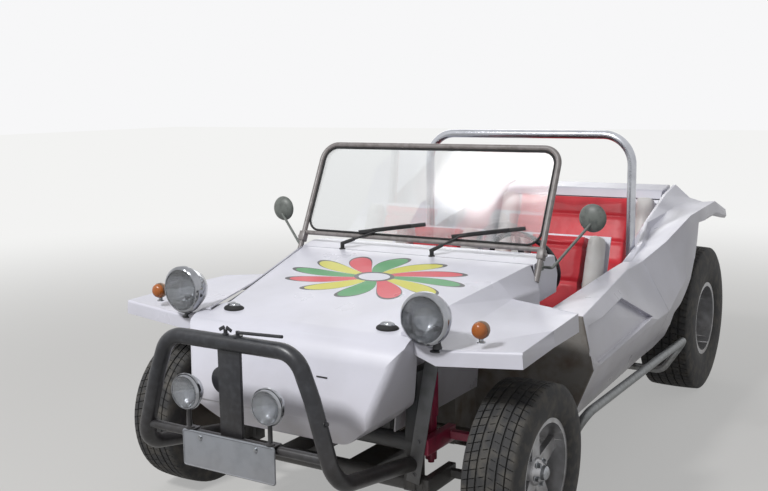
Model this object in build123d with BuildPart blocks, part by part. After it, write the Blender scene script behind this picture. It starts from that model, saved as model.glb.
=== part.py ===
"""Open four-seat dune buggy: glass-fibre body on a rear-engined pressed steel floorpan.

Frame: millimetres, +X to the vehicle's left, +Y towards its tail, +Z up, wheels on z = 0.
Stations along the vehicle are given as distances behind the front axle, through aft().
"""
import os
from itertools import pairwise
from math import cos, radians, sin, tan

from build123d import *

os.makedirs("parts", exist_ok=True)

# Driving dimensions
WHEELBASE = 2400
FRONT_AXLE_Y = -1186
SKIN = 6
BODY_HALF = 480
FRONT_TYRE_R = 320
FRONT_TYRE_W = 204
FRONT_TRACK_HALF = 760
REAR_TYRE_R = 396
REAR_TYRE_W = 276
REAR_TRACK_HALF = 652
BEAD_R = 190
KINGPIN_X = 575
STEER_ARM = 125
SCREEN_FOOT = (543, 1022)
SCREEN_HEAD = (734, 1416)
SCREEN_HALF = 590
ROLL_BAR_AFT = 1700
ROLL_BAR_HALF = 571
ROLL_BAR_TOP = 1433
PLATE_W = 400
PLATE_H = 130
SIDES = (-1, 1)


def aft(distance):
    """Y of a station that far behind the front axle."""
    return FRONT_AXLE_Y + distance


def side_plane(x):
    """Sketch plane seen from the vehicle's left: local x is Y, local y is Z."""
    return Plane(origin=(x, 0, 0), x_dir=(0, 1, 0), z_dir=(1, 0, 0))


def cross_plane(distance):
    """Sketch plane across the vehicle: local x is X, local y is Z."""
    return Plane.XZ.offset(-aft(distance))


def aft_points(points):
    """Station and height pairs as points of a side plane."""
    return [(aft(distance), z) for distance, z in points]


def two_sided(half):
    """Outline whose right half mirrors the left half given."""
    return half + [(-x, v) for x, v in reversed(half)]


def panel(plane, points, rounds=(), inset=0.0):
    """Closed outline on a plane, with some corners rounded, drawn smaller by the inset."""
    with BuildSketch(plane) as view:
        with BuildLine():
            Polyline(*points, close=True)
        make_face()
        for number, radius in rounds:
            corner = view.vertices().sort_by_distance(Vector(*points[number], 0))[0]
            fillet(corner, radius=radius)
        if inset:
            offset(amount=-inset, kind=Kind.INTERSECTION)
    return view.sketch


def mitred(points, wall):
    """The same open line moved to its right by the wall, with mitred corners."""
    moved = []
    for index, point in enumerate(points):
        normals = []
        for start, end in ((index - 1, index), (index, index + 1)):
            if start >= 0 and end < len(points):
                run = (Vector(*points[end]) - Vector(*points[start])).normalized()
                normals.append(Vector(run.Y, -run.X))
        mitre = sum(normals, Vector()).normalized()
        move = mitre * (wall / mitre.dot(normals[0]))
        moved.append((point[0] + move.X, point[1] + move.Y))
    return moved


def facets(a, b, c, d):
    """One flat face through four points, or two where they are not in one plane."""
    if abs((b - a).cross(c - a).normalized().dot(d - a)) < 1e-6:
        return [Face(Wire.make_polygon([a, b, c, d]))]
    return [Face(Wire.make_polygon([a, b, c])), Face(Wire.make_polygon([a, c, d]))]


def creased_wall(stations, wall=SKIN):
    """Moulded wall of flat facets through the same number of x, z points at each station."""
    outer = [[Vector(x, aft(y), z) for x, z in points] for y, points in stations]
    inner = [[Vector(x, aft(y), z) for x, z in mitred(points, wall)] for y, points in stations]
    faces = [Face(Wire.make_polygon(outer[end] + inner[end][::-1])) for end in (0, -1)]
    for skin in (outer, inner):
        for line, following in pairwise(skin):
            for place in range(len(line) - 1):
                faces += facets(line[place], line[place + 1], following[place + 1], following[place])
    for end in (0, -1):
        for here in range(len(stations) - 1):
            faces += facets(outer[here][end], outer[here + 1][end], inner[here + 1][end], inner[here][end])
    return Solid(Shell(faces))


def side_wall(points, half_width, wall=SKIN, side=Side.LEFT):
    """Thin wall with a station, height line as its section, across the vehicle's middle."""
    with BuildPart() as shell:
        with BuildSketch(side_plane(-half_width)):
            with BuildLine():
                line = Polyline(*aft_points(points))
                offset(line, amount=wall, side=side, kind=Kind.INTERSECTION)
            make_face()
        extrude(amount=2 * half_width)
    return shell.part


def eased(points, bend, steps=3):
    """Route whose corners become short runs that touch an arc of the bend's radius."""
    route = [Vector(*points[0])]
    for before, at, after in zip(points, points[1:], points[2:]):
        corner = Vector(*at)
        back = (Vector(*before) - corner).normalized()
        onward = (Vector(*after) - corner).normalized()
        turn = radians(180 - back.get_angle(onward))
        centre = corner + (back + onward).normalized() * (bend / cos(turn / 2))
        start = corner + back * (bend * tan(turn / 2)) - centre
        reach = 1 / cos(turn / steps / 2)
        for step in range(steps):
            angle = turn * (step + 0.5) / steps
            route.append(centre + (start * cos(angle) - back * (bend * sin(angle))) * reach)
    return route + [Vector(*points[-1])]


def tube(points, radius, bend=0.0):
    """Round bar along straight runs, with one bend radius at every corner."""
    with BuildPart() as bar:
        with BuildLine():
            route = Polyline(*(eased(points, bend) if bend else points))
        with BuildSketch(Plane(origin=route @ 0, z_dir=route % 0)):
            Circle(radius)
        sweep(transition=Transition.RIGHT)
    return bar.part


def turned(center, profile, facing):
    """Solid of revolution: the profile's pairs are distance along the facing and radius."""
    across = Vector(0, 0, 1) if abs(facing[2]) < 0.9 else Vector(1, 0, 0)
    side = (across - Vector(*facing) * across.dot(Vector(*facing))).normalized()
    with BuildPart() as round_piece:
        with BuildSketch(Plane(origin=center, x_dir=facing, z_dir=Vector(*facing).cross(side))):
            with BuildLine():
                Polyline(*profile, close=True)
            make_face()
        revolve(axis=Axis(center, facing))
    return round_piece.part


# Bonnet with the nose in one moulding, bounded by its side view, its plan and its front view
NOSE_BOTTOM = 448
BONNET_REAR = 500
SKIRT_FRONT = -190
TRIM = 40
bonnet_side = [
    (BONNET_REAR + TRIM, 972), (-372, 814.6), (-466, 548), (-388, NOSE_BOTTOM - TRIM),
    (BONNET_REAR + TRIM, NOSE_BOTTOM - TRIM),
]
bonnet_plan = [(572, aft(BONNET_REAR + TRIM)), (415, aft(SKIRT_FRONT)), (478, aft(-262)), (478, aft(-520))]
bonnet_front = [(170, 430), (290, 455), (420, 560), (640, 1000)]
NOSE_ROUND = 150
KEEL_ROUND = 110
NOSE_EDGE = 45
nose_sections = [
    # height, front station, half width there, half width at the rear
    (430, -509.5, 359, 509),
    (1000, -308, 536, 686),
]


def bonnet_block(inset):
    """Solid that the moulding's three views and its tapering nose bound, each drawn that much smaller."""
    side_view = panel(side_plane(-600), aft_points(bonnet_side), [(1, NOSE_ROUND), (2, KEEL_ROUND)], inset)
    plan_view = panel(Plane.XY.offset(300), two_sided(bonnet_plan), inset=inset)
    front_rounds = [(1, KEEL_ROUND), (2, KEEL_ROUND), (5, KEEL_ROUND), (6, KEEL_ROUND)]
    front_view = panel(cross_plane(700), two_sided(bonnet_front), front_rounds, inset)
    tapering = [
        panel(Plane.XY.offset(z), two_sided([(half_rear, aft(600)), (half_front, aft(front))]),
              [(1, NOSE_EDGE), (2, NOSE_EDGE)], inset)
        for z, front, half_front, half_rear in nose_sections
    ]
    with BuildPart() as block:
        extrude(side_view, amount=1200)
        extrude(plan_view, amount=800, mode=Mode.INTERSECT)
        extrude(front_view, amount=1400, mode=Mode.INTERSECT)
        loft(sections=tapering, ruled=True, mode=Mode.INTERSECT)
    return block.part


bonnet_outside = bonnet_block(0.001)
bonnet_inside = bonnet_block(SKIN)
under_ridge = panel(side_plane(-600), aft_points([
    (SKIRT_FRONT, 846 - SKIN), (BONNET_REAR + TRIM, 972 - SKIN), (BONNET_REAR + TRIM, 400),
    (SKIRT_FRONT, 400),
]))
with BuildPart() as bonnet:
    add(bonnet_outside)
    add(bonnet_inside, mode=Mode.SUBTRACT)
    extrude(under_ridge, amount=1200, mode=Mode.SUBTRACT)
    with Locations((0, aft(BONNET_REAR), NOSE_BOTTOM)):
        Box(1300, 2000, 700, align=(Align.CENTER, Align.MAX, Align.MIN), mode=Mode.INTERSECT)

# Front fenders: slope below the bonnet ridge, flat wing with lips, cheek and wheel-arch apron
BONNET_GAP = 2
WING_FRONT = -290
WING_REAR = 280
fender_walls = [
    # station: ridge, foot, wing edge, lip
    [(WING_FRONT, [(430, 842), (563, 794), (878, 825), (882, 770)]),
     (0, [(463, 885), (573, 833), (866, 836), (870, 778)]),
     (WING_REAR, [(521, 933), (585, 868), (846, 840), (850, 770)])],
    # station: ridge, foot, cheek bottom
    [(WING_REAR, [(521, 933), (585, 868), (590, 800)]),
     (484, [(564, 968), (606, 872), (606, 800)])],
]
apron_wall = [
    # station: bottom, knee, ridge
    (-184, [(330, 440), (350, 690), (445, 836)]),
    (470, [(330, 440), (350, 690), (566, 930)]),
]
front_lip = panel(cross_plane(WING_FRONT), [
    (430, 842), (563, 794), (878, 825), (882, 770), (563, 739), (420, 790),
])
rear_lip = panel(cross_plane(WING_REAR), [(585, 868), (846, 840), (850, 770), (588, 800)])
bonnet_clearance = bonnet_block(-BONNET_GAP)
with BuildPart() as front_fender_left:
    for wall in fender_walls:
        add(creased_wall(wall))
    extrude(front_lip, amount=-SKIN)
    extrude(rear_lip, amount=SKIN)
    add(bonnet_clearance, mode=Mode.SUBTRACT)
    add(creased_wall(apron_wall))
with BuildPart() as front_fender_right:
    mirror(front_fender_left.part, about=Plane.YZ)

# Cowl: scuttle under the windscreen, dashboard face and its two ends
scuttle_line = [(507, 966), (600, 985), (720, 975), (750, 900), (738, 815)]
scuttle = side_wall(scuttle_line, 566, side=Side.RIGHT)
cowl_ends = [panel(side_plane(x), aft_points([*scuttle_line, (507, 800)])) for x in (-572, 566)]
with BuildPart() as cowl:
    add(scuttle)
    for end in cowl_ends:
        extrude(end, amount=SKIN)

# Round dials on the dashboard face
DIAL_AFT = 746.5
with BuildPart() as instruments:
    for x, radius in ((250, 42), (350, 55), (450, 42)):
        add(turned((x, aft(DIAL_AFT), 862), [(0, 0), (0, radius), (14, radius), (18, radius - 6), (18, 0)],
                   (0, 1, 0)))
    add(cowl.part, mode=Mode.SUBTRACT)

# Steering column
COLUMN_TOP = (330, aft(905), 862)
COLUMN_FOOT = (250, aft(120), 470)
COLUMN_R = 20
column_bar = tube([COLUMN_FOOT, COLUMN_TOP], COLUMN_R)
column_hole = tube([COLUMN_FOOT, COLUMN_TOP], COLUMN_R + 1)
with BuildPart() as steering_column:
    add(column_bar)

# Front bulkhead: toe board, its two ends and the rear walls of the wheel arches
toe_board = side_wall([(480, 948), (400, 700), (296, 560), (296, 240)], 320)
toe_ends = [panel(side_plane(x), aft_points([(480, 948), (400, 700), (296, 560), (296, 268), (480, 268)]))
            for x in (-326, 320)]
ARCH_AFT = 480
ARCH_SKIN = 3
arch_outline = [
    (322, 268), (322, 946), (540, 946), (600, 790), (784, 778), (831, 571), (746, 365), (596, 303),
    (563, 268),
]
arch_backs = [panel(cross_plane(ARCH_AFT), [(side * x, z) for x, z in arch_outline]) for side in SIDES]
with BuildPart() as front_bulkhead:
    add(toe_board)
    for end in toe_ends:
        extrude(end, amount=SKIN)
    for back in arch_backs:
        extrude(back, amount=ARCH_SKIN, dir=(0, 1, 0))
    add(column_hole, mode=Mode.SUBTRACT)

# Sides: inner wall, flat coaming, flank with a sunk panel, and sill
SIDE_FRONT = ARCH_AFT + ARCH_SKIN
SIDE_REAR = 1503
side_stations = [
    # station: inner bottom, inner knee, coaming inner, coaming outer, widest line, sill, sill inner
    (SIDE_FRONT, [(560, 250), (610, 600), (625, 780), (787, 782), (835, 571), (750, 362), (600, 300)]),
    (1346, [(560, 250), (590, 600), (594, 820), (673, 822), (832, 605), (752, 415), (600, 335)]),
    (SIDE_REAR, [(560, 250), (590, 600), (600, 832), (700, 845), (832, 612), (752, 420), (600, 340)]),
]
RECESS_DEPTH = 22
flank_stations = [(station, points[3:6]) for station, points in side_stations]
recess_outline = [(480, 630), (517, 735), (1040, 750), (1280, 628), (560, 578)]
recess_cut = panel(side_plane(660), aft_points(recess_outline))
recess_back = panel(side_plane(660), aft_points(recess_outline), inset=-RECESS_DEPTH)
with BuildPart() as recess_void:
    add(creased_wall(flank_stations, RECESS_DEPTH))
    extrude(recess_cut, amount=300, mode=Mode.INTERSECT)
with BuildPart() as recess_pad:
    add(creased_wall(flank_stations, RECESS_DEPTH + SKIN))
    extrude(recess_back, amount=300, mode=Mode.INTERSECT)
with BuildPart() as side_left:
    add(creased_wall(side_stations))
    add(recess_pad.part)
    add(recess_void.part, mode=Mode.SUBTRACT)
with BuildPart() as side_right:
    mirror(side_left.part, about=Plane.YZ)

# Rear quarters: wheel-well wall, rim strip, valley, ramp, flat rear fender and lip
quarter_stations = [
    # station: inner bottom, knee, rim inner, rim outer, valley, outer edge, side, sill, sill inner
    (SIDE_REAR, [(560, 250), (590, 600), (600, 832), (640, 837), (655, 839), (700, 845), (832, 612),
                 (752, 420), (600, 340)]),
    (1740, [(560, 250), (596, 600), (596, 894), (622, 898), (634, 880), (738, 907), (814, 670),
            (772, 467), (672, 388)]),
    (1900, [(486, 300), (486, 830), (567, 942), (587, 945), (600, 912), (773, 978), (803, 705),
            (780, 500), (692, 418)]),
    (1980, [(486, 440), (486, 832), (552, 966), (570, 968), (584, 928), (790, 1014), (805, 740),
            (784, 525), (700, 430)]),
    (2230, [(486, 440), (486, 842), (530, 1022), (546, 1024), (600, 1000), (798, 1034), (806, 975),
            (798, 962), (776, 958)]),
    (2430, [(486, 440), (486, 850), (512, 1068), (528, 1070), (604, 1026), (800, 1046), (806, 985),
            (798, 972), (776, 968)]),
    (2680, [(486, 500), (486, 850), (498, 1104), (514, 1106), (596, 1034), (800, 975), (806, 940),
            (798, 927), (776, 923)]),
]
arch_line = [(1640, 200), (1666, 500), (1714, 549), (1906, 616), (1985, 690), (2078, 874), (2110, 965),
             (2440, 965), (2720, 920), (2720, 200)]
well_line = [(1640, 200), (1666, 500), (1714, 549), (1906, 616), (1985, 690), (2078, 874), (2720, 874),
             (2720, 200)]
arch_cuts = [panel(side_plane(x), aft_points(line)) for x, line in ((505, well_line), (650, arch_line))]
with BuildPart() as rear_quarter_left:
    add(creased_wall(quarter_stations))
    for arch_cut in arch_cuts:
        extrude(arch_cut, amount=400, mode=Mode.SUBTRACT)
with BuildPart() as rear_quarter_right:
    mirror(rear_quarter_left.part, about=Plane.YZ)

# Rear bulkhead and bench well, then the deck behind the bench with its tail panel
bench_well = side_wall([(1740, 262), (1790, 560), (2330, 600), (2500, 1030)], BODY_HALF + 4, side=Side.RIGHT)
with BuildPart() as rear_bulkhead:
    add(bench_well)
    with Locations((0, aft(1750), 250)):
        Box(204, 200, 304, mode=Mode.SUBTRACT)
TAIL_BOTTOM = (2745, 900)
deck_line = [(2506, 1036), (2530, 1085), (2680, 1105), TAIL_BOTTOM]
deck_skin = side_wall(deck_line, BODY_HALF, side=Side.RIGHT)
deck_ends = [panel(side_plane(x), aft_points([*deck_line, (2506, 900)]))
             for x in (-BODY_HALF, BODY_HALF - SKIN)]
with BuildPart() as rear_deck:
    add(deck_skin)
    for end in deck_ends:
        extrude(end, amount=SKIN)

# Floorpan: pressed floor with the central tunnel, beads, rear torsion housing and engine fork
PAN_Z = 240
PAN_FRONT = 302
PAN_REAR = 1990
PAN_HALF = 560
TORSION_AFT = 2045
TORSION_Z = 330
SPRING_PLATE_X = 470
pan_line = [(PAN_HALF, PAN_Z + 16), (PAN_HALF - 20, PAN_Z), (95, PAN_Z), (75, PAN_Z + 150)]
FORK_INSIDE = 112
fork_half = [(70, 1930), (150, 2040), (150, 2330), (FORK_INSIDE, 2330), (FORK_INSIDE, 2060), (40, 1960)]
with BuildPart() as floorpan:
    with BuildSketch(cross_plane(PAN_REAR)):
        with BuildLine():
            line = Polyline(*[(-x, z) for x, z in pan_line], *reversed(pan_line))
            offset(line, amount=SKIN, side=Side.LEFT, kind=Kind.INTERSECTION)
        make_face()
    extrude(amount=PAN_REAR - PAN_FRONT)
    with Locations((0, aft(1100), PAN_Z - 2)):
        with GridLocations(620, 330, 2, 4):
            Box(330, 60, 8)
    for side in SIDES:
        with BuildSketch(Plane.XY.offset(330)):
            with BuildLine():
                Polyline(*[(side * x, aft(y)) for x, y in fork_half], close=True)
            make_face()
        extrude(amount=56)
        with BuildSketch(Plane.XY):
            with BuildLine():
                Polyline((side * 460, aft(290)), (side * 580, aft(290)), (side * 580, aft(400)), close=True)
            make_face()
        extrude(amount=400, mode=Mode.SUBTRACT)
    with Locations(Location((0, aft(TORSION_AFT), TORSION_Z), (0, 90, 0))):
        Cylinder(45, 2 * SPRING_PLATE_X - 16)

# Front beam: torsion tubes, damper towers, trailing arms, frame head and steering box
BEAM_AFT = -150
BEAM_HALF = 445
BEAM_LOW = 250
BEAM_HIGH = 400
TOWER_X = 395
LINK_X = 503
DAMPER_TOP = 640
tower_view = [
    (-190, 230), (-110, 230), (-112, 600), (-98, DAMPER_TOP + 16), (-20, DAMPER_TOP + 16),
    (-20, DAMPER_TOP + 28), (-160, DAMPER_TOP + 28),
]
with BuildPart() as front_beam:
    for z in (BEAM_LOW, BEAM_HIGH):
        with Locations(Location((0, aft(BEAM_AFT), z), (0, 90, 0))):
            Cylinder(32, 2 * BEAM_HALF)
        with Locations((-455, aft(BEAM_AFT / 2), z), (455, aft(BEAM_AFT / 2), z)):
            Box(30, -BEAM_AFT + 60, 60)
        with Locations((-LINK_X, aft(0), z), (LINK_X, aft(0), z)):
            Box(96, 30, 30)
    for side in SIDES:
        with BuildSketch(side_plane(side * TOWER_X - 22)):
            with BuildLine():
                Polyline(*aft_points(tower_view), close=True)
            make_face()
        extrude(amount=44)
        with Locations((side * 160, aft(75), 255)):
            Box(120, 440, 44)
    with Locations((250, aft(-20), 446)):
        Box(84, 260, 64)
    fillet(front_beam.edges().filter_by(Axis.Y).filter_by(
        lambda e: e.center().Z > 470 and 200 < e.center().X < 300), radius=14)
    add(column_hole, mode=Mode.SUBTRACT)
front_damper_profile = [
    (0, 0), (0, 12), (14, 12), (14, 22), (180, 22), (180, 28), (340, 28), (352, 12), (356, 12), (356, 0),
]
with BuildPart() as front_dampers:
    for side in SIDES:
        add(turned((side * 411, aft(-55), DAMPER_TOP - 356 + 15.5), front_damper_profile, (0, 0, 1)))

# Steered knuckles: kingpin barrel, spindle, brake backplate and steering arm
KNUCKLE_Z = FRONT_TYRE_R
ROD_Z = 375
ROD_EYE_HALF = 17
ARM_T = 16
BACKPLATE_X = 707


def knuckle(side):
    """Kingpin barrel with spindle, backplate and the arm that the track rod turns."""
    with BuildPart() as carrier:
        with Locations((side * KINGPIN_X, aft(0), KNUCKLE_Z + 5)):
            Cylinder(22, 150)
        with Locations(Location((side * (KINGPIN_X + 60), aft(0), KNUCKLE_Z), (0, 90, 0))):
            Cylinder(34, 120)
        with Locations(Location((side * BACKPLATE_X, aft(0), KNUCKLE_Z), (0, 90, 0))):
            Cylinder(124, 5)
        with Locations(Location((side * (KINGPIN_X + 110), aft(0), KNUCKLE_Z), (0, 90, 0))):
            Cylinder(14, 120)
        with Locations((side * KINGPIN_X, aft(STEER_ARM / 2), ROD_Z - ROD_EYE_HALF - 1 - ARM_T / 2)):
            Box(26, STEER_ARM, ARM_T)
    return carrier.part


knuckle_shapes = {side: knuckle(side) for side in SIDES}
with BuildPart() as knuckle_left:
    add(knuckle_shapes[1])
with BuildPart() as knuckle_right:
    add(knuckle_shapes[-1])
rod_end = (KINGPIN_X, aft(STEER_ARM), ROD_Z)
rod_bar = tube([(-rod_end[0], rod_end[1], rod_end[2]), rod_end], 10)
with BuildPart() as track_rod:
    add(rod_bar)
    with Locations((-rod_end[0], rod_end[1], rod_end[2]), rod_end):
        Cylinder(18, 2 * ROD_EYE_HALF)


# Wheels
SPOKES = 5


def tyre(center, radius, width, bead_half):
    """Tyre ring between the rim flanges: bead, two sidewall slopes a side and the tread."""
    half = width / 2
    bulge = (half, BEAD_R + (radius - BEAD_R) * 0.5)
    shoulder = (half * 0.84, radius)
    half_line = [(bead_half, BEAD_R), bulge, shoulder]
    return turned(center, two_sided(half_line), (1, 0, 0))


def rim(center, side, bead_half, disc_at, lip_depth):
    """Barrel with two flanges, tapered spokes, hub and brake drum; disc_at is outward of centre."""
    edge = bead_half + 8
    barrel_half = [(edge, BEAD_R - lip_depth), (edge, BEAD_R + 10), (bead_half, BEAD_R)]
    spoke = [(30, 34), (BEAD_R - 4, 24), (BEAD_R - 4, -24), (30, -34)]
    outward = (side, 0, 0)
    disc = Plane(origin=center, x_dir=(0, 1, 0), z_dir=outward).offset(disc_at)
    drum = Vector(*center) + Vector(*outward) * disc_at
    drum_profile = [
        (-58, 20), (-58, 118), (0, 118), (0, 60), (34, 48), (52, 30), (52, 0), (10, 0), (10, 20),
    ]
    spoke_view = panel(Plane.XY, spoke)
    with BuildPart() as wheel:
        add(turned(center, two_sided(barrel_half), (1, 0, 0)))
        with BuildSketch(disc):
            with PolarLocations(0, SPOKES, start_angle=18):
                add(spoke_view)
        extrude(amount=24)
        add(turned(drum, drum_profile, outward))
    return wheel.part


wheel_table = {
    # corner: centre x, station, tyre radius, tyre width, bead half width, disc place, lip depth
    "front_left": (FRONT_TRACK_HALF, 0, FRONT_TYRE_R, FRONT_TYRE_W, 76, 20, 12),
    "front_right": (-FRONT_TRACK_HALF, 0, FRONT_TYRE_R, FRONT_TYRE_W, 76, 20, 12),
    "rear_left": (REAR_TRACK_HALF, WHEELBASE, REAR_TYRE_R, REAR_TYRE_W, 115, 0, 12),
    "rear_right": (-REAR_TRACK_HALF, WHEELBASE, REAR_TYRE_R, REAR_TYRE_W, 115, 0, 12),
}
wheel_shapes = {}
for corner, (x, station, radius, width, bead_half, disc_at, lip_depth) in wheel_table.items():
    middle = (x, aft(station), radius)
    wheel_shapes["tyre_" + corner] = tyre(middle, radius, width, bead_half)
    wheel_shapes["rim_" + corner] = rim(middle, 1 if x > 0 else -1, bead_half, disc_at, lip_depth)

# Steering wheel: grip ring of six-sided section, three spokes and hub
column_dir = Vector(*COLUMN_TOP) - Vector(*COLUMN_FOOT)
STEER_PLANE = Plane(origin=COLUMN_TOP, z_dir=column_dir)
GRIP_R = 165
with BuildPart() as steering_wheel:
    with BuildSketch(STEER_PLANE.offset(3)):
        Circle(24)
    extrude(amount=50)
    with BuildSketch(STEER_PLANE.offset(44)):
        with PolarLocations(0, 3, start_angle=90):
            with Locations((GRIP_R / 2, 0)):
                Rectangle(GRIP_R, 30)
    extrude(amount=4)
    with BuildSketch(Plane(origin=STEER_PLANE.from_local_coords(Vector(GRIP_R, 0, 46)),
                           x_dir=STEER_PLANE.x_dir, z_dir=STEER_PLANE.y_dir)):
        RegularPolygon(12, 6)
    revolve(axis=Axis(COLUMN_TOP, column_dir))

# Rear axle: transaxle with bell housing and nose, swing axle tubes and spring plates
GEARBOX_Z = REAR_TYRE_R
with BuildPart() as gearbox:
    with Locations((0, aft(WHEELBASE), GEARBOX_Z)):
        Box(210, 230, 220)
    with Locations((0, aft(WHEELBASE - 175), GEARBOX_Z)):
        Box(130, 120, 130)
    chamfer(gearbox.edges().filter_by(Axis.Y), length=22)
    add(turned((0, aft(WHEELBASE + 115), GEARBOX_Z), [(0, 0), (0, 95), (60, 160), (104, 160), (104, 0)],
               (0, 1, 0)))
    with Locations(Location((0, aft(WHEELBASE), GEARBOX_Z), (0, 90, 0))):
        Cylinder(88, 2 * FORK_INSIDE)
axle_bars = [
    tube([(side * FORK_INSIDE, aft(WHEELBASE), REAR_TYRE_R), (side * 570, aft(WHEELBASE), REAR_TYRE_R)], 36)
    for side in SIDES
]
spring_plate = [(TORSION_AFT - 50, 380), (TORSION_AFT - 50, 280), (2440, 350), (2440, 442)]
with BuildPart() as rear_axle:
    for axle_bar in axle_bars:
        add(axle_bar)
    for side in SIDES:
        with BuildSketch(side_plane(side * SPRING_PLATE_X - 8)):
            with BuildLine():
                Polyline(*aft_points(spring_plate), close=True)
            make_face()
        extrude(amount=16)
        with Locations((side * 430, aft(WHEELBASE), 440)):
            Box(36, 40, 34)
damper_bars = [tube([(side * 430, aft(2402), 458), (side * 430, aft(2500), 770)], 25) for side in SIDES]
damper_bridge = tube([(-486, aft(2500), 775), (486, aft(2500), 775)], 16)
with BuildPart() as rear_dampers:
    add(damper_bridge)
    for bar in damper_bars:
        add(bar)
    add(rear_axle.part, mode=Mode.SUBTRACT)

# Engine: split crankcase with sump ribs, finned barrels, heads and valve covers on both sides
ENGINE_FRONT = WHEELBASE + 221
ENGINE_REAR = ENGINE_FRONT + 310
CRANK_Z = REAR_TYRE_R
BANK_AFT = (ENGINE_FRONT + ENGINE_REAR) / 2 + 10
BARREL_IN = 112
BARREL_OUT = 276
FIN_COUNT = 9
HEAD_OUT = 344
with BuildPart() as engine:
    with Locations((0, aft((ENGINE_FRONT + ENGINE_REAR) / 2), CRANK_Z + 8)):
        Box(2 * BARREL_IN, ENGINE_REAR - ENGINE_FRONT, 236)
    chamfer(engine.edges().filter_by(Axis.Y), length=34)
    with Locations((0, aft((ENGINE_FRONT + ENGINE_REAR) / 2), CRANK_Z - 120)):
        with GridLocations(26, 0, 6, 1):
            Box(6, ENGINE_REAR - ENGINE_FRONT - 60, 26)
    for side in SIDES:
        with Locations((side * (BARREL_IN + BARREL_OUT) / 2, aft(BANK_AFT), CRANK_Z)):
            with GridLocations(0, 128, 1, 2):
                Box(BARREL_OUT - BARREL_IN + 8, 84, 84)
            with GridLocations((BARREL_OUT - BARREL_IN) / (FIN_COUNT + 1), 0, FIN_COUNT, 1):
                Box(5, 250, 122)
        with Locations((side * (BARREL_OUT + HEAD_OUT) / 2, aft(BANK_AFT), CRANK_Z)):
            Box(HEAD_OUT - BARREL_OUT, 262, 134)
        with BuildSketch(Plane(origin=(side * HEAD_OUT, aft(BANK_AFT), CRANK_Z), x_dir=(0, 1, 0),
                               z_dir=(side, 0, 0))):
            Rectangle(240, 112)
        extrude(amount=30, taper=18)

# Fan housing over the crankcase, with the air ducts down to both banks
HOUSING_AFT = ENGINE_FRONT + 25
HOUSING_DEPTH = 128
HOUSING_FOOT = CRANK_Z + 128
FAN_Z = 688
FAN_R = 158
housing_half = [(150, HOUSING_FOOT), (272, HOUSING_FOOT + 4), (290, HOUSING_FOOT + 40), (212, FAN_Z - 60)]
with BuildPart() as fan_shroud:
    with BuildSketch(cross_plane(HOUSING_AFT + HOUSING_DEPTH)):
        with BuildLine():
            left_side = Polyline(*housing_half, (FAN_R, FAN_Z))
            crown = ThreePointArc((FAN_R, FAN_Z), (0, FAN_Z + FAN_R), (-FAN_R, FAN_Z))
            Polyline((-FAN_R, FAN_Z), *[(-x, z) for x, z in reversed(housing_half)], housing_half[0])
        make_face()
    extrude(amount=HOUSING_DEPTH)
    add(turned((0, aft(HOUSING_AFT + HOUSING_DEPTH), FAN_Z), [(0, 62), (0, 100), (14, 92), (14, 62)],
               (0, 1, 0)))

# Generator with its pulley, crank pulley and the belt round both
GENERATOR_Z = FAN_Z
BELT_AFT = ENGINE_REAR + 24
BELT_W = 12
CRANK_PULLEY_R = 84
GENERATOR_PULLEY_R = 62
belt_half = [(CRANK_PULLEY_R, CRANK_Z), (GENERATOR_PULLEY_R, GENERATOR_Z)]


def belt_outline(grow):
    """Loop round both pulleys, that much outside their rims."""
    with BuildSketch(cross_plane(BELT_AFT + BELT_W / 2)) as loop:
        with Locations((0, CRANK_Z)):
            Circle(CRANK_PULLEY_R + grow)
        with Locations((0, GENERATOR_Z)):
            Circle(GENERATOR_PULLEY_R + grow)
        with BuildLine():
            Polyline(*two_sided([(x + grow, z) for x, z in belt_half]), close=True)
        make_face()
    return loop.sketch


with BuildPart() as generator_drive:
    shaft_end = BELT_AFT - HOUSING_AFT - HOUSING_DEPTH
    add(turned((0, aft(HOUSING_AFT + HOUSING_DEPTH), GENERATOR_Z),
               [(0, 0), (0, 48), (128, 48), (136, 30), (136, 16), (shaft_end, 16), (shaft_end, 0)],
               (0, 1, 0)))
    for z, radius in ((CRANK_Z, CRANK_PULLEY_R), (GENERATOR_Z, GENERATOR_PULLEY_R)):
        pulley_profile = [(-10, 0), (-10, radius), (10, radius), (10, radius * 0.5), (4, 0)]
        add(turned((0, aft(BELT_AFT), z), pulley_profile, (0, 1, 0)))
    with Locations(Location((0, aft((ENGINE_REAR + BELT_AFT) / 2), CRANK_Z), (90, 0, 0))):
        Cylinder(22, BELT_AFT - ENGINE_REAR)
    extrude(belt_outline(5), amount=BELT_W)
    extrude(belt_outline(-3), amount=BELT_W, mode=Mode.SUBTRACT)

# Intake: manifold into both heads, carburettor and drum air cleaner
HEAD_TOP = CRANK_Z + 67
MANIFOLD_X = 310
MANIFOLD_AFT = 2850
MANIFOLD_Z = 590
CARB = (125, 2868)
manifold_line = two_sided([(MANIFOLD_X, HEAD_TOP), (MANIFOLD_X, MANIFOLD_Z)])
manifold = tube([(-x, aft(MANIFOLD_AFT), z) for x, z in manifold_line], 17, 55)
air_cleaner = [(0, 0), (0, 60), (10, 88), (70, 88), (82, 70), (82, 0)]
with BuildPart() as intake:
    add(manifold)
    with Locations((CARB[0], aft(CARB[1]), MANIFOLD_Z + 80)):
        Box(56, 60, 150)
    with Locations((CARB[0], aft(CARB[1]), MANIFOLD_Z + 60)):
        Box(90, 44, 40)
    add(turned((CARB[0], aft(CARB[1]), MANIFOLD_Z + 155), air_cleaner, (0, 0, 1)))

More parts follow.
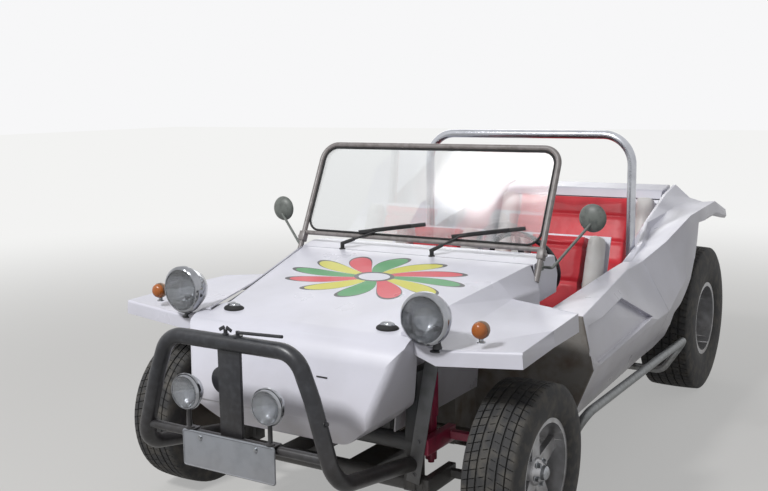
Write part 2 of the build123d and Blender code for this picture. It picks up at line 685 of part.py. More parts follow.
# Exhaust: cross silencer, one header a side with two ports, and two tailpipes
MUFFLER_AFT = 3035
MUFFLER_Z = 330
MUFFLER_R = 65
MUFFLER_HALF = 280
HEADER_X = 316
HEADER_Z = 262
PORT_Z = CRANK_Z - 67
headers = [
    tube([(side * HEADER_X, aft(BANK_AFT - 64), PORT_Z), (side * HEADER_X, aft(BANK_AFT - 64), HEADER_Z),
          (side * HEADER_X, aft(MUFFLER_AFT), HEADER_Z), (side * HEADER_X, aft(MUFFLER_AFT), MUFFLER_Z - 2),
          (side * (MUFFLER_HALF - 8), aft(MUFFLER_AFT), MUFFLER_Z - 2)], 17, 30)
    for side in SIDES
]
tailpipes = [
    tube([(side * 90, aft(MUFFLER_AFT), MUFFLER_Z - 30), (side * 90, aft(MUFFLER_AFT + 50), 236)], 17)
    for side in SIDES
]
with BuildPart() as exhaust:
    add(turned((-MUFFLER_HALF, aft(MUFFLER_AFT), MUFFLER_Z),
               [(0, 0), (0, 50), (14, MUFFLER_R), (2 * MUFFLER_HALF - 14, MUFFLER_R), (2 * MUFFLER_HALF, 50),
                (2 * MUFFLER_HALF, 0)], (1, 0, 0)))
    for pipe in headers + tailpipes:
        add(pipe)
    for side in SIDES:
        with Locations((side * HEADER_X, aft(BANK_AFT + 64), (PORT_Z + HEADER_Z) / 2)):
            Cylinder(17, PORT_Z - HEADER_Z)

# Side bars along the sills, on feet under the floorpan
SIDE_BAR_R = 19
FOOT_Z = PAN_Z - SIDE_BAR_R
side_bar_line = [
    (470, 560, FOOT_Z), (700, 560, FOOT_Z), (800, 490, 385), (800, 1930, 385), (700, 1860, FOOT_Z),
    (470, 1860, FOOT_Z),
]
side_bar_tubes = [
    tube([(side * x, aft(y), z) for x, y, z in side_bar_line], SIDE_BAR_R, 55) for side in SIDES
]
with BuildPart() as side_bars:
    for bar in side_bar_tubes:
        add(bar)

# Bull bar: hoop on two legs to the beam towers, upright with horn, lower bar and brackets
BULL_AFT = -680
BULL_R = 28
BULL_BEND = 92
LOWER_BAR_Z = 500
LOWER_BAR_R = 16
AUX_X = 175
hoop_half = [(TOWER_X + 5, -175, 330), (418, BULL_AFT, 420), (335, BULL_AFT, 690), (275, BULL_AFT, 837)]
hoop_points = [(-x, aft(y), z) for x, y, z in hoop_half]
hoop_points += [(x, aft(y), z) for x, y, z in reversed(hoop_half)]
hoop_bar = tube(hoop_points, BULL_R, BULL_BEND)
with BuildPart() as bull_bar:
    add(hoop_bar)
    add(front_beam.part, mode=Mode.SUBTRACT)
    with Locations(Location((0, aft(BULL_AFT), LOWER_BAR_Z), (0, 90, 0))):
        Cylinder(LOWER_BAR_R, 2 * 390)
    with Locations((0, aft(BULL_AFT), 665)):
        Box(96, 14, 340)
    with Locations((-AUX_X, aft(-684), LOWER_BAR_Z + 19), (AUX_X, aft(-684), LOWER_BAR_Z + 19)):
        Box(44, 38, 6)
    with Locations((-100, aft(-699), LOWER_BAR_Z - 10), (100, aft(-699), LOWER_BAR_Z - 10)):
        Box(30, 12, 44)
    with Locations((0, aft(BULL_AFT), 837 + BULL_R + 8)):
        Cylinder(9, 24)
        Box(70, 12, 8)
    add(turned((-45, aft(BULL_AFT + 7), 700), [(0, 0), (0, 48), (16, 48), (34, 26), (70, 26), (70, 0)],
               (0, 1, 0)))
PLATE_FACE = -708
PLATE_Z = 454
PLATE_HOLE_HALF = 120
PLATE_HOLE_UP = 46
PLATE_HOLE_R = 3.5
plate_holes = [(side * PLATE_HOLE_HALF, PLATE_Z + PLATE_HOLE_UP) for side in SIDES]
with BuildPart() as front_plate:
    with BuildSketch(cross_plane(PLATE_FACE)):
        with Locations((0, PLATE_Z)):
            RectangleRounded(PLATE_W, PLATE_H, 10)
        with Locations(*plate_holes):
            Circle(PLATE_HOLE_R, mode=Mode.SUBTRACT)
    extrude(amount=-3)

# Lamps: bowls, rims and stands
HEADLAMP = (540, -329, 905)
HEADLAMP_R = 92
AUX_Z = 652
AUX_R = 64


def lamp_profile(radius, depth):
    """Glass face, rim and bowl of a round lamp, as distance forwards and radius."""
    return [(14, 0), (8, radius * 0.88), (0, radius), (-20, radius), (-depth * 0.75, radius * 0.66),
            (-depth, radius * 0.25), (-depth, 0)]


with BuildPart() as headlamps:
    for side in SIDES:
        add(turned((side * HEADLAMP[0], aft(HEADLAMP[1]), HEADLAMP[2]), lamp_profile(HEADLAMP_R, 110),
                   (0, -1, 0)))
        with Locations((side * 560, aft(-272), 825)):
            Cylinder(13, 80)
        with Locations((side * 560, aft(-262), 795)):
            Cylinder(26, 16)
    for neighbour in (front_fender_left, front_fender_right, bonnet):
        add(neighbour.part, mode=Mode.SUBTRACT)
with BuildPart() as aux_lamps:
    for side in SIDES:
        add(turned((side * AUX_X, aft(-714), AUX_Z), lamp_profile(AUX_R, 60), (0, -1, 0)))
        with Locations((side * AUX_X, aft(-697), (LOWER_BAR_Z + 22 + AUX_Z - 50) / 2)):
            Cylinder(8, AUX_Z - 50 - LOWER_BAR_Z - 22)
signal_profile = [(16, 0), (13, 14), (0, 25), (-34, 25), (-42, 14), (-42, 0)]
with BuildPart() as turn_signals:
    for side in SIDES:
        add(turned((side * 719, aft(-277), 876), signal_profile, (0, -1, 0)))
        with Locations((side * 719, aft(-262), 835)):
            Cylinder(8, 60)
    add(front_fender_left.part, mode=Mode.SUBTRACT)
    add(front_fender_right.part, mode=Mode.SUBTRACT)

# Windscreen: tube frame on two legs, glass and wipers
screen_rise = Vector(0, SCREEN_HEAD[0] - SCREEN_FOOT[0], SCREEN_HEAD[1] - SCREEN_FOOT[1])
SCREEN_H = screen_rise.length
SCREEN_PLANE = Plane(origin=(0, aft(SCREEN_FOOT[0]), SCREEN_FOOT[1]), x_dir=(1, 0, 0),
                     z_dir=Vector(1, 0, 0).cross(screen_rise))
LEG_DROP = 135
SCREEN_TUBE_R = 12
screen_route = [(-SCREEN_HALF, -LEG_DROP), (-SCREEN_HALF, SCREEN_H), (SCREEN_HALF, SCREEN_H),
                (SCREEN_HALF, -LEG_DROP)]
sill_route = [(-SCREEN_HALF, 0), (SCREEN_HALF, 0)]
screen_bars = [
    tube([SCREEN_PLANE.from_local_coords(Vector(x, y, 0)) for x, y in route], radius, bend)
    for route, radius, bend in ((screen_route, SCREEN_TUBE_R, 70), (sill_route, 10, 0))
]
with BuildPart() as windscreen_frame:
    for bar in screen_bars:
        add(bar)
    for neighbour in (front_fender_left, front_fender_right, cowl):
        add(neighbour.part, mode=Mode.SUBTRACT)
with BuildPart() as windscreen_glass:
    with BuildSketch(SCREEN_PLANE.offset(-3)):
        with Locations((0, SCREEN_H / 2)):
            RectangleRounded(2 * SCREEN_HALF - 24.4, SCREEN_H - 24.4, 66)
    extrude(amount=6)
wiper_routes = [
    [(-354, 508, 964), (-354, 508, 990), (-172, 541, 1058), (42, 560, 1091)],
    [(103, 508, 964), (103, 508, 990), (225, 541, 1056), (506, 564, 1100)],
]
wiper_bars = [tube([(x, aft(y), z) for x, y, z in route], 5) for route in wiper_routes]
with BuildPart() as wipers:
    for bar in wiper_bars:
        add(bar)
    add(cowl.part, mode=Mode.SUBTRACT)

# Mirrors: round heads on bent arms from the ends of the cowl
mirror_table = [
    # side, head centre
    (1, (741, 700, 1140)),
    (-1, (790, 654, 1112)),
]
mirror_arms = [
    tube([(side * 572, aft(565), 948), (side * 625, aft(565), 948), (side * x, aft(y - 18), z - 20)], 6, 12)
    for side, (x, y, z) in mirror_table
]
with BuildPart() as mirrors:
    for arm in mirror_arms:
        add(arm)
    for side, (x, y, z) in mirror_table:
        add(turned((side * x, aft(y), z), [(0, 0), (0, 58), (-8, 58), (-26, 36), (-26, 0)], (0, 1, 0)))

# Roll bar: hoop on two legs with flanges against the cockpit walls
ROLL_R = 22
ROLL_FOOT = 600
ROLL_BEND = 150
roll_line = two_sided([(ROLL_BAR_HALF, ROLL_FOOT), (ROLL_BAR_HALF, ROLL_BAR_TOP)])
roll_hoop = tube([(-x, aft(ROLL_BAR_AFT), z) for x, z in roll_line], ROLL_R, ROLL_BEND)
with BuildPart() as roll_bar:
    add(roll_hoop)
    for side in SIDES:
        with Locations((side * 590, aft(ROLL_BAR_AFT), 650), (side * 590, aft(ROLL_BAR_AFT), 800)):
            Box(16, 80, 60)
    add(rear_quarter_left.part, mode=Mode.SUBTRACT)
    add(rear_quarter_right.part, mode=Mode.SUBTRACT)

# Seats: two shells on boxes, red centres between white bolsters, and the rear bench
SEAT_X = 332
SEAT_HALF = 236
CENTRE_HALF = 148
BOLSTER_W = 86
SOFT_GAP = 0.3
seat_line = [(860, 420), (1240, 380), (1420, 960)]
pad_line = mitred(seat_line, -SOFT_GAP)
bench_line = mitred([(1800, 560.74), (2330, 600), (2500, 1030)], -SOFT_GAP)
BENCH_CENTRE_HALF = 358
BENCH_HALF = 472
seat_shell = side_wall(seat_line, SEAT_HALF, 8, Side.RIGHT)
seat_centre = side_wall(pad_line, CENTRE_HALF, 90)
seat_edge = side_wall(pad_line, BOLSTER_W / 2, 112)
bench_edge = side_wall(bench_line, (BENCH_HALF - BENCH_CENTRE_HALF) / 2 - 1, 100)
with BuildPart() as seat_shells:
    with Locations((-SEAT_X, 0, 0), (SEAT_X, 0, 0)):
        add(seat_shell)
    for side in SIDES:
        with BuildSketch(side_plane(side * SEAT_X - 150)):
            with BuildLine():
                Polyline(*aft_points([(880, PAN_Z + SKIN), (1220, PAN_Z + SKIN), (1220, 374), (880, 409.8)]),
                         close=True)
            make_face()
        extrude(amount=300)
with BuildPart() as seat_pads:
    with Locations((-SEAT_X, 0, 0), (SEAT_X, 0, 0)):
        add(seat_centre)
with BuildPart() as seat_bolsters:
    with Locations(*[(side * SEAT_X + place * (CENTRE_HALF + 2 + BOLSTER_W / 2), 0, 0)
                     for side in SIDES for place in SIDES]):
        add(seat_edge)
    with Locations(*[(side * (BENCH_HALF + BENCH_CENTRE_HALF + 2) / 2, 0, 0) for side in SIDES]):
        add(bench_edge)
rear_bench_shape = side_wall(bench_line, BENCH_CENTRE_HALF, 100)
with BuildPart() as rear_bench:
    add(rear_bench_shape)

# Hand and foot controls: gear lever, handbrake and three pedals
TUNNEL_TOP = PAN_Z + 150 + SKIN
lever_bars = [tube([(0, aft(820), TUNNEL_TOP), (0, aft(820), TUNNEL_TOP + 24), (0, aft(870), 640)], 7),
              tube([(48, aft(1100), TUNNEL_TOP), (48, aft(1100), TUNNEL_TOP + 22), (48, aft(900), 490)], 10)]
pedal_bars = [tube([(x, aft(520), PAN_Z + SKIN + 5), (x, aft(440), 430)], 7) for x in (150, 220, 290)]
with BuildPart() as controls:
    for bar in lever_bars + pedal_bars:
        add(bar)
    add(turned((0, aft(870), 636), [(0, 0), (0, 12), (14, 24), (30, 24), (42, 10), (42, 0)], (0, 0, 1)))
    with Locations(*[(x, aft(520), PAN_Z + SKIN + 6) for x in (150, 220, 290)]):
        Box(24, 40, 12)
    with Locations(*[Location((x, aft(440), 436), (-24, 0, 0)) for x in (150, 220, 290)]):
        Box(48, 12, 62)

# Tail lamps on the tail panel
TAIL_LAMP = (400, 2716.5, 990)
tail_facing = Vector(0, 205, 65).normalized()
with BuildPart() as tail_lamps:
    for side in SIDES:
        add(turned((side * TAIL_LAMP[0], aft(TAIL_LAMP[1]), TAIL_LAMP[2]),
                   [(0, 0), (0, 45), (20, 45), (28, 34), (28, 0)], tuple(tail_facing)))
    add(rear_deck.part, mode=Mode.SUBTRACT)

assembly = {
    "bonnet": bonnet.part,
    "front_fender_left": front_fender_left.part,
    "front_fender_right": front_fender_right.part,
    "cowl": cowl.part,
    "instruments": instruments.part,
    "front_bulkhead": front_bulkhead.part,
    "side_left": side_left.part,
    "side_right": side_right.part,
    "rear_quarter_left": rear_quarter_left.part,
    "rear_quarter_right": rear_quarter_right.part,
    "rear_bulkhead": rear_bulkhead.part,
    "rear_deck": rear_deck.part,
    "floorpan": floorpan.part,
    "front_beam": front_beam.part,
    "front_dampers": front_dampers.part,
    "knuckle_left": knuckle_left.part,
    "knuckle_right": knuckle_right.part,
    "track_rod": track_rod.part,
    "steering_column": steering_column.part,
    "steering_wheel": steering_wheel.part,
    "gearbox": gearbox.part,
    "rear_axle": rear_axle.part,
    "rear_dampers": rear_dampers.part,
    "engine": engine.part,
    "fan_shroud": fan_shroud.part,
    "generator_drive": generator_drive.part,
    "intake": intake.part,
    "exhaust": exhaust.part,
    "side_bars": side_bars.part,
    "bull_bar": bull_bar.part,
    "front_plate": front_plate.part,
    "headlamps": headlamps.part,
    "aux_lamps": aux_lamps.part,
    "turn_signals": turn_signals.part,
    "windscreen_frame": windscreen_frame.part,
    "windscreen_glass": windscreen_glass.part,
    "wipers": wipers.part,
    "mirrors": mirrors.part,
    "roll_bar": roll_bar.part,
    "seat_shells": seat_shells.part,
    "seat_pads": seat_pads.part,
    "seat_bolsters": seat_bolsters.part,
    "rear_bench": rear_bench.part,
    "controls": controls.part,
    "tail_lamps": tail_lamps.part,
    **wheel_shapes,
}
for node, shape in assembly.items():
    shape.label = node
    export_step(shape, f"parts/{node}.step")
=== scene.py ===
# %% [markdown]
# # A beach buggy, dressed piece by piece
#
# The CAD model gives every part's place and main shape. This lesson keeps those places and gives each
# part the edges, padding, tread and finish that the real vehicle has.

# %% Load the frame
import math
import bmesh
import bpy
from mathutils import Matrix, Vector


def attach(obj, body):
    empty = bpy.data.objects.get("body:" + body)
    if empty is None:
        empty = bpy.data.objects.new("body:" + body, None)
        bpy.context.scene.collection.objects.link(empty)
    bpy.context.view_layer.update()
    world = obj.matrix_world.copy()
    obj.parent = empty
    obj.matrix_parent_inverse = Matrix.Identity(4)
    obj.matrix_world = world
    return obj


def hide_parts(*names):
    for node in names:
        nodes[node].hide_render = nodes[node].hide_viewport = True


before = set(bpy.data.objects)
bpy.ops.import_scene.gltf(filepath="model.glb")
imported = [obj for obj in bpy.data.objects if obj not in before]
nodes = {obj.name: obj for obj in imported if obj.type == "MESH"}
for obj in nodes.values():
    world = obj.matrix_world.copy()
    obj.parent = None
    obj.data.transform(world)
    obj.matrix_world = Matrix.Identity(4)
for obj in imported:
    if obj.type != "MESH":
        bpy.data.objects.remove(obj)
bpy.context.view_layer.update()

# %% [markdown]
# ## Measuring from the front axle
#
# Lengths along the vehicle are written as stations behind the front axle in millimetres, as on a drawing, so
# one small function turns a station into a place in the scene, which is in metres. The front tyre's own mesh
# shows whether the axle is where the function puts it.

# %% Stations
FRONT_AXLE = -1.186


def at(x, aft, z):
    """Place in metres from millimetres: to the left, behind the front axle, above the ground."""
    return Vector((x / 1000, FRONT_AXLE + aft / 1000, z / 1000))


tyre_reach = [vert.co.y for vert in nodes["tyre_front_left"].data.vertices]
print("front axle", FRONT_AXLE, "measured", (min(tyre_reach) + max(tyre_reach)) / 2)

# %% [markdown]
# ## The camera
#
# The photograph was taken standing, in front of the left headlamp. The camera's three axes are worked out
# from its heading, its dip and its small roll, and no shift or depth of field is used.

# %% Camera
CAMERA_PLACE = at(2148, -3135, 1638)
LENS_MM, SENSOR_MM = 46.8, 36
HEADING, DIP, ROLL = math.radians(32.07), math.radians(8.51), math.radians(-0.78)
look = Vector((-math.sin(HEADING) * math.cos(DIP), math.cos(HEADING) * math.cos(DIP), -math.sin(DIP)))
right = look.cross(Vector((0, 0, 1))).normalized()
up = right.cross(look)
rolled_right = right * math.cos(ROLL) + up * math.sin(ROLL)
rolled_up = up * math.cos(ROLL) - right * math.sin(ROLL)
camera = bpy.data.objects.new("photo_camera", bpy.data.cameras.new("photo_camera"))
camera.data.lens = LENS_MM
camera.data.sensor_width = SENSOR_MM
camera.data.clip_end = 200
camera.matrix_world = Matrix.Translation(CAMERA_PLACE) @ Matrix(
    (rolled_right, rolled_up, -look)).transposed().to_4x4()
bpy.context.scene.collection.objects.link(camera)
bpy.context.scene.camera = camera
bpy.context.scene.view_settings.view_transform = "Standard"
print("camera at", CAMERA_PLACE, "looks along", look)

# %% [markdown]
# ## Adding a node
#
# Every material here is a small tree. One function adds a node, sets what it is given and links what comes
# from other nodes, so a tree reads as a short list of steps. Colours are written as the sRGB hex values
# that a colour picker shows, and one function turns them to the linear values that Blender counts in.

# %% Node helpers


def linear(code):
    """Linear colour of an sRGB hex code."""
    channels = [int(code[i:i + 2], 16) / 255 for i in (1, 3, 5)]
    return [c / 12.92 if c <= 0.04045 else ((c + 0.055) / 1.055) ** 2.4 for c in channels] + [1]


def add(tree, kind, inputs=None, **settings):
    """Adds a node: settings are its own, inputs are values or the sockets of other nodes."""
    node = tree.nodes.new("ShaderNode" + kind)
    for name, value in settings.items():
        setattr(node, name, value)
    for key, value in (inputs or {}).items():
        if isinstance(value, bpy.types.NodeSocket):
            tree.links.new(value, node.inputs[key])
        else:
            node.inputs[key].default_value = value
    return node


print("middle grey in linear values", linear("#808080"))

# %% [markdown]
# ## Wear, grain and dust
#
# Three things make a surface look used: its colour drifts in patches, its finest relief is never quite
# flat, and road dust gathers low down. Painting them by hand would need a texture for each piece, so each
# is a short chain of noise nodes on object coordinates, with its size given in millimetres.

# %% New finishes and drifting colour


def new_finish(name, roughness, metallic=0.0, **sockets):
    """A material with its shader, ready for its colour and grain."""
    material = bpy.data.materials.new(name)
    material.use_nodes = True
    tree = material.node_tree
    shader = tree.nodes["Principled BSDF"]
    shader.inputs["Roughness"].default_value = roughness
    shader.inputs["Metallic"].default_value = metallic
    for key, value in sockets.items():
        shader.inputs[key.replace("_", " ")].default_value = value
    place = add(tree, "TexCoord").outputs["Object"]
    return material, tree, shader, place


def mottled(tree, place, size_mm, clean, worn, low=0.35, high=0.7):
    """Colour that drifts between two hex values in patches of that size."""
    noise = add(tree, "TexNoise", {"Vector": place, "Scale": 1000 / size_mm, "Detail": 5})
    ramp = add(tree, "ValToRGB", {"Fac": noise.outputs["Fac"]})
    ramp.color_ramp.elements[0].position = low
    ramp.color_ramp.elements[1].position = high
    ramp.color_ramp.elements[0].color = linear(clean)
    ramp.color_ramp.elements[1].color = linear(worn)
    return ramp.outputs["Color"]


print("patches of 40 mm take a noise scale of", 1000 / 40, "per metre")

# %% Grain and dust
DUST_PATCH_MM = 1000 / 9


def grain(tree, place, shader, size_mm, depth_mm, detail=3):
    """Fine bump over the whole surface, in real sizes."""
    noise = add(tree, "TexNoise", {"Vector": place, "Scale": 1000 / size_mm, "Detail": detail})
    bump = add(tree, "Bump", {"Height": noise.outputs["Fac"], "Distance": depth_mm / 1000, "Strength": 1.0})
    tree.links.new(bump.outputs["Normal"], shader.inputs["Normal"])


def dusted(tree, place, colour, dust, top_mm, bottom_mm, most):
    """Colour that gathers road dust below a height: none at the top, most at the bottom."""
    height = add(tree, "SeparateXYZ", {"Vector": place}).outputs["Z"]
    noise = add(tree, "TexNoise", {"Vector": place, "Scale": 1000 / DUST_PATCH_MM, "Detail": 6.0})
    low = add(tree, "MapRange", {"Value": height, "From Min": top_mm / 1000, "From Max": bottom_mm / 1000,
                                 "To Min": 0.0, "To Max": most})
    patchy = add(tree, "MapRange", {"Value": noise.outputs["Fac"], "From Min": 0.3, "From Max": 0.7,
                                    "To Min": 0.45, "To Max": 1.0})
    amount = add(tree, "Math", {0: low.outputs["Result"], 1: patchy.outputs["Result"]}, operation="MULTIPLY")
    mix = add(tree, "Mix", {"Factor": amount.outputs["Value"], "A": colour, "B": linear(dust)},
              data_type="RGBA")
    return mix.outputs["Result"]


print("dust patches are", round(DUST_PATCH_MM), "mm wide")

# %% [markdown]
# ## Gel coat
#
# The body is glass fibre in polyester resin, laid up in a mould that was first sprayed with white gel coat.
# That leaves a glossy skin with a faint waviness from the fibres, and here it has chalked a little and
# caught beach dust low down. A noise on the roughness shows the chalking better than a second colour would.

# %% White gel coat
WHITE, CHALKED, BEACH_DUST = "#D9D9E4", "#CDCDD6", "#9A8C7C"
CHALK_PATCH_MM, SMOOTHEST, CHALKIEST = 1000 / 6, 0.26, 0.42
RIPPLE_MM, RIPPLE_DEPTH_MM = 70, 0.35


def gel_coat(name):
    """Mould-finished white polyester skin: colour socket and tree, for a design to go over it."""
    material, tree, shader, place = new_finish(name, SMOOTHEST, IOR=1.5, Coat_Weight=0.2,
                                               Coat_Roughness=0.34)
    colour = mottled(tree, place, 260, WHITE, CHALKED, 0.4, 0.75)
    colour = dusted(tree, place, colour, BEACH_DUST, 700, 300, 0.55)
    grain(tree, place, shader, RIPPLE_MM, RIPPLE_DEPTH_MM, 2)
    rough = add(tree, "TexNoise", {"Vector": place, "Scale": 1000 / CHALK_PATCH_MM, "Detail": 6.0})
    spread = add(tree, "MapRange", {"Value": rough.outputs["Fac"], "From Min": 0.3, "From Max": 0.7,
                                    "To Min": SMOOTHEST, "To Max": CHALKIEST})
    tree.links.new(spread.outputs["Result"], shader.inputs["Roughness"])
    tree.links.new(colour, shader.inputs["Base Color"])
    return material, tree, shader, place, colour


gel_coat_white = gel_coat("gel_coat_white")[0]
print(gel_coat_white.name, "nodes", len(gel_coat_white.node_tree.nodes))

# %% [markdown]
# ## A painted bonnet
#
# The bonnet carries a sign-painter's rosette. Its plane coordinates are turned to an angle and a distance,
# the angle is cut in equal sectors, and each sector is filled out to a rounded petal tip. The sector's
# number picks the paint, and a dark line is drawn wherever the distance is close to the petal's edge. An
# image would do it too, but a formula stays sharp at any size.

# %% Paint of each petal
LEAF_GREEN, SIGNAL_RED, MUSTARD, OUTLINE = "#2F8F4A", "#D23444", "#CDC93A", "#2A2A2E"


def petal_paints(tree, third):
    """Colour socket that turns 0, a third and two thirds to the three paints."""
    paints = add(tree, "ValToRGB", {"Fac": third})
    paints.color_ramp.interpolation = "CONSTANT"
    for stop, hex_code in ((0.0, LEAF_GREEN), (0.3, SIGNAL_RED), (0.6, MUSTARD)):
        element = paints.color_ramp.elements[0] if stop == 0 else paints.color_ramp.elements.new(stop)
        element.color = linear(hex_code)
    paints.color_ramp.elements.remove(paints.color_ramp.elements[-1])
    return paints.outputs["Color"]


print("petal paints", LEAF_GREEN, SIGNAL_RED, MUSTARD, "lined with", OUTLINE)

# %% Steps of the rosette
PETALS, SWIRL, TIP_ROUNDNESS = 12, 0.55, 0.38
DESIGN_AFT = 215
DESIGN_HALF_X, DESIGN_HALF_Y = 405, 235
EYE, EYE_LINE, TIP_LINE, SIDE_LINE = 0.2, 0.025, 0.028, 0.475
# Each step has a name, an operation, and numbers or the names of earlier steps.
ROSETTE = (
    ("across", "DIVIDE", "x", DESIGN_HALF_X / 1000),
    ("behind", "SUBTRACT", "y", at(0, DESIGN_AFT, 0).y),
    ("along", "DIVIDE", "behind", DESIGN_HALF_Y / 1000),
    ("across squared", "MULTIPLY", "across", "across"),
    ("along squared", "MULTIPLY", "along", "along"),
    ("away squared", "ADD", "across squared", "along squared"),
    ("away", "SQRT", "away squared"),
    ("angle", "ARCTAN2", "along", "across"),
    ("sector", "MULTIPLY_ADD", "angle", PETALS / (2 * math.pi), PETALS),
    ("swirl", "MULTIPLY_ADD", "away", SWIRL, "sector"),
    ("part of sector", "FRACT", "swirl"),
    ("from middle", "SUBTRACT", "part of sector", 0.5),
    ("half turn", "MULTIPLY", "from middle", math.pi),
    ("bulge", "COSINE", "half turn"),
    ("tip", "POWER", "bulge", TIP_ROUNDNESS),
    ("gap to tip", "SUBTRACT", "tip", "away"),
    ("inside tip", "GREATER_THAN", "gap to tip", 0.0),
    ("outside eye", "GREATER_THAN", "away", EYE),
    ("filled", "MULTIPLY", "inside tip", "outside eye"),
    ("tip distance", "ABSOLUTE", "gap to tip"),
    ("near tip", "LESS_THAN", "tip distance", TIP_LINE),
    ("side distance", "ABSOLUTE", "from middle"),
    ("beside", "GREATER_THAN", "side distance", SIDE_LINE),
    ("near side", "MULTIPLY", "beside", "filled"),
    ("from eye", "SUBTRACT", "away", EYE),
    ("eye distance", "ABSOLUTE", "from eye"),
    ("near eye", "LESS_THAN", "eye distance", EYE_LINE),
    ("near petal edge", "MAXIMUM", "near tip", "near side"),
    ("lined", "MAXIMUM", "near petal edge", "near eye"),
    ("number", "FLOOR", "swirl"),
    ("one of three", "MODULO", "number", 3.0),
    ("third", "DIVIDE", "one of three", 3.0),
)
print("rosette of", PETALS, "petals in", len(ROSETTE), "steps")

# %% Rosette


def petals(tree, place, colour):
    """The colour socket with the rosette painted over it."""
    parts = add(tree, "SeparateXYZ", {"Vector": place})
    known = {"x": parts.outputs["X"], "y": parts.outputs["Y"]}
    for name, operation, *items in ROSETTE:
        inputs = {number: known.get(item, item) for number, item in enumerate(items)}
        known[name] = add(tree, "Math", inputs, operation=operation).outputs["Value"]
    paints = petal_paints(tree, known["third"])
    first = add(tree, "Mix", {"Factor": known["filled"], "A": colour, "B": paints}, data_type="RGBA")
    second = add(tree, "Mix", {"Factor": known["lined"], "A": first.outputs["Result"], "B": linear(OUTLINE)},
                 data_type="RGBA")
    return second.outputs["Result"]


bonnet_paint, bonnet_tree, bonnet_shader, bonnet_place, bonnet_colour = gel_coat("painted_gel_coat")
bonnet_tree.links.new(petals(bonnet_tree, bonnet_place, bonnet_colour), bonnet_shader.inputs["Base Color"])
print(bonnet_paint.name, "petals", PETALS, "nodes", len(bonnet_tree.nodes))

# %% [markdown]
# ## Brushed and sprayed paints
#
# The chassis is pressed and welded steel under matt black, the bull bar is satin black enamel worn in
# patches, and the dampers are a bright magenta enamel. Each starts from a typical roughness for its gloss.
# Mud that the front wheels throw dries on the gel coat as a rough grey-brown crust, and the same dark
# grey-brown also paints the shade in the front wheel wells and under the fenders, so it is a paint of its
# own, for mud and painted shade. One function makes them all, because they differ only in colour, gloss, wear
# and dust.

# %% Paints
SAND = "#8C7E6E"


def paint(name, clean, worn, roughness, patch_mm=40, dust=None, depth_mm=0.05):
    """Sprayed enamel with worn patches, and dust low down where it is given."""
    material, tree, shader, place = new_finish(name, roughness, IOR=1.5)
    colour = mottled(tree, place, patch_mm, clean, worn, 0.45, 0.72)
    if dust:
        colour = dusted(tree, place, colour, *dust)
    grain(tree, place, shader, 3, depth_mm)
    tree.links.new(colour, shader.inputs["Base Color"])
    print(name, "roughness", roughness)
    return material


underbody_black = paint("matt_black_underbody_paint", "#1D1D1F", "#2B2826", 0.6, dust=(SAND, 620, 150, 0.5))
satin_black = paint("satin_black_enamel", "#1F2025", "#303237", 0.36, 25, dust=(SAND, 700, 350, 0.12))
beam_grey = paint("brushed_grey_chassis_paint", "#4C4F52", "#3E4041", 0.5, 60, dust=(SAND, 560, 200, 0.25))
strut_grey = paint("dull_grey_strut_paint", "#7A7C7F", "#66686A", 0.5, 60, dust=(SAND, 560, 200, 0.2))
magenta_enamel = paint("magenta_damper_enamel", "#B0124F", "#8C1040", 0.3, dust=(SAND, 600, 280, 0.3))
column_black = paint("semi_gloss_black_paint", "#1A1A1C", "#242426", 0.4)
plate_enamel = paint("grey_plate_enamel", "#8F939A", "#83878D", 0.42, 60, dust=(SAND, 560, 380, 0.18))
screen_frame_paint = paint("weathered_grey_frame_paint", "#85807F", "#6C6664", 0.38, 30)
mirror_shell_paint = paint("grey_green_mirror_paint", "#6B706C", "#555956", 0.45, 20)
# Dried mud and painted shade: this dark grey-brown also stands in for the shade in the front wheel wells and
# under the fenders.
mud_and_painted_shade = paint("mud_and_shade_gel_coat", "#85827E", "#67594D", 0.75, 90, depth_mm=0.4)

# %% [markdown]
# ## Bare metals
#
# Chrome and polished tube are smooth and pale. Cast aluminium is grey and grainy, galvanised steel has dull
# spangles, and the exhaust has gone brown with heat. Metals keep the default IOR. Their making shows in the
# size of the patches and of the grain, so one function takes both in millimetres.

# %% Metals


def metal(name, clean, worn, roughness, patch_mm, grain_mm, depth_mm, dust=None, metallic=1.0):
    """Metal with patches of wear, and a grain of the size that its making leaves."""
    material, tree, shader, place = new_finish(name, roughness, metallic)
    colour = mottled(tree, place, patch_mm, clean, worn)
    if dust:
        colour = dusted(tree, place, colour, *dust)
    grain(tree, place, shader, grain_mm, depth_mm)
    tree.links.new(colour, shader.inputs["Base Color"])
    print(name, "roughness", roughness)
    return material


chrome = metal("weathered_chromium_plate", "#A6A8AD", "#8B8D91", 0.12, 60, 20, 0.01)
polished_tube = metal("polished_steel_tube", "#C4C6CC", "#ABADB3", 0.22, 90, 5, 0.02)
zinc_steel = metal("galvanised_steel", "#8D9194", "#767A7B", 0.45, 18, 6, 0.05, (SAND, 500, 180, 0.35), 0.8)
cast_aluminium = metal("sand_cast_aluminium", "#8F9193", "#77797B", 0.5, 50, 1.5, 0.15, metallic=0.85)
wheel_alloy = metal("machined_wheel_alloy", "#BFC1C5", "#A2A3A6", 0.36, 40, 2, 0.04,
                    (SAND, 900, -200, 0.45), 0.75)
signal_bronze = metal("brown_anodised_signal_body", "#8A6F58", "#6D5848", 0.35, 20, 5, 0.02, metallic=0.6)
hot_steel = metal("heat_browned_steel", "#6A5C52", "#4C4039", 0.55, 35, 2, 0.1, metallic=0.7)
zinc_bolt = metal("zinc_plated_bolt", "#A5A8AC", "#8C8E90", 0.35, 8, 2, 0.03)
mirror_silver = metal("silvered_mirror", "#B4B5B8", "#A3A4A6", 0.06, 90, 50, 0.002)

# %% [markdown]
# ## Glass and clear plastics
#
# The windscreen is flat laminated glass, so most of what the eye gets is the sky in it. The lamp glasses are
# pressed with upright flutes about 6 mm wide, and the signal lenses are amber acrylic with ribs of about
# 4 mm. Both could be modelled, but a bump of even bands takes no faces. They would blur to nothing at the
# size of the picture, so they are drawn some six times as coarse.

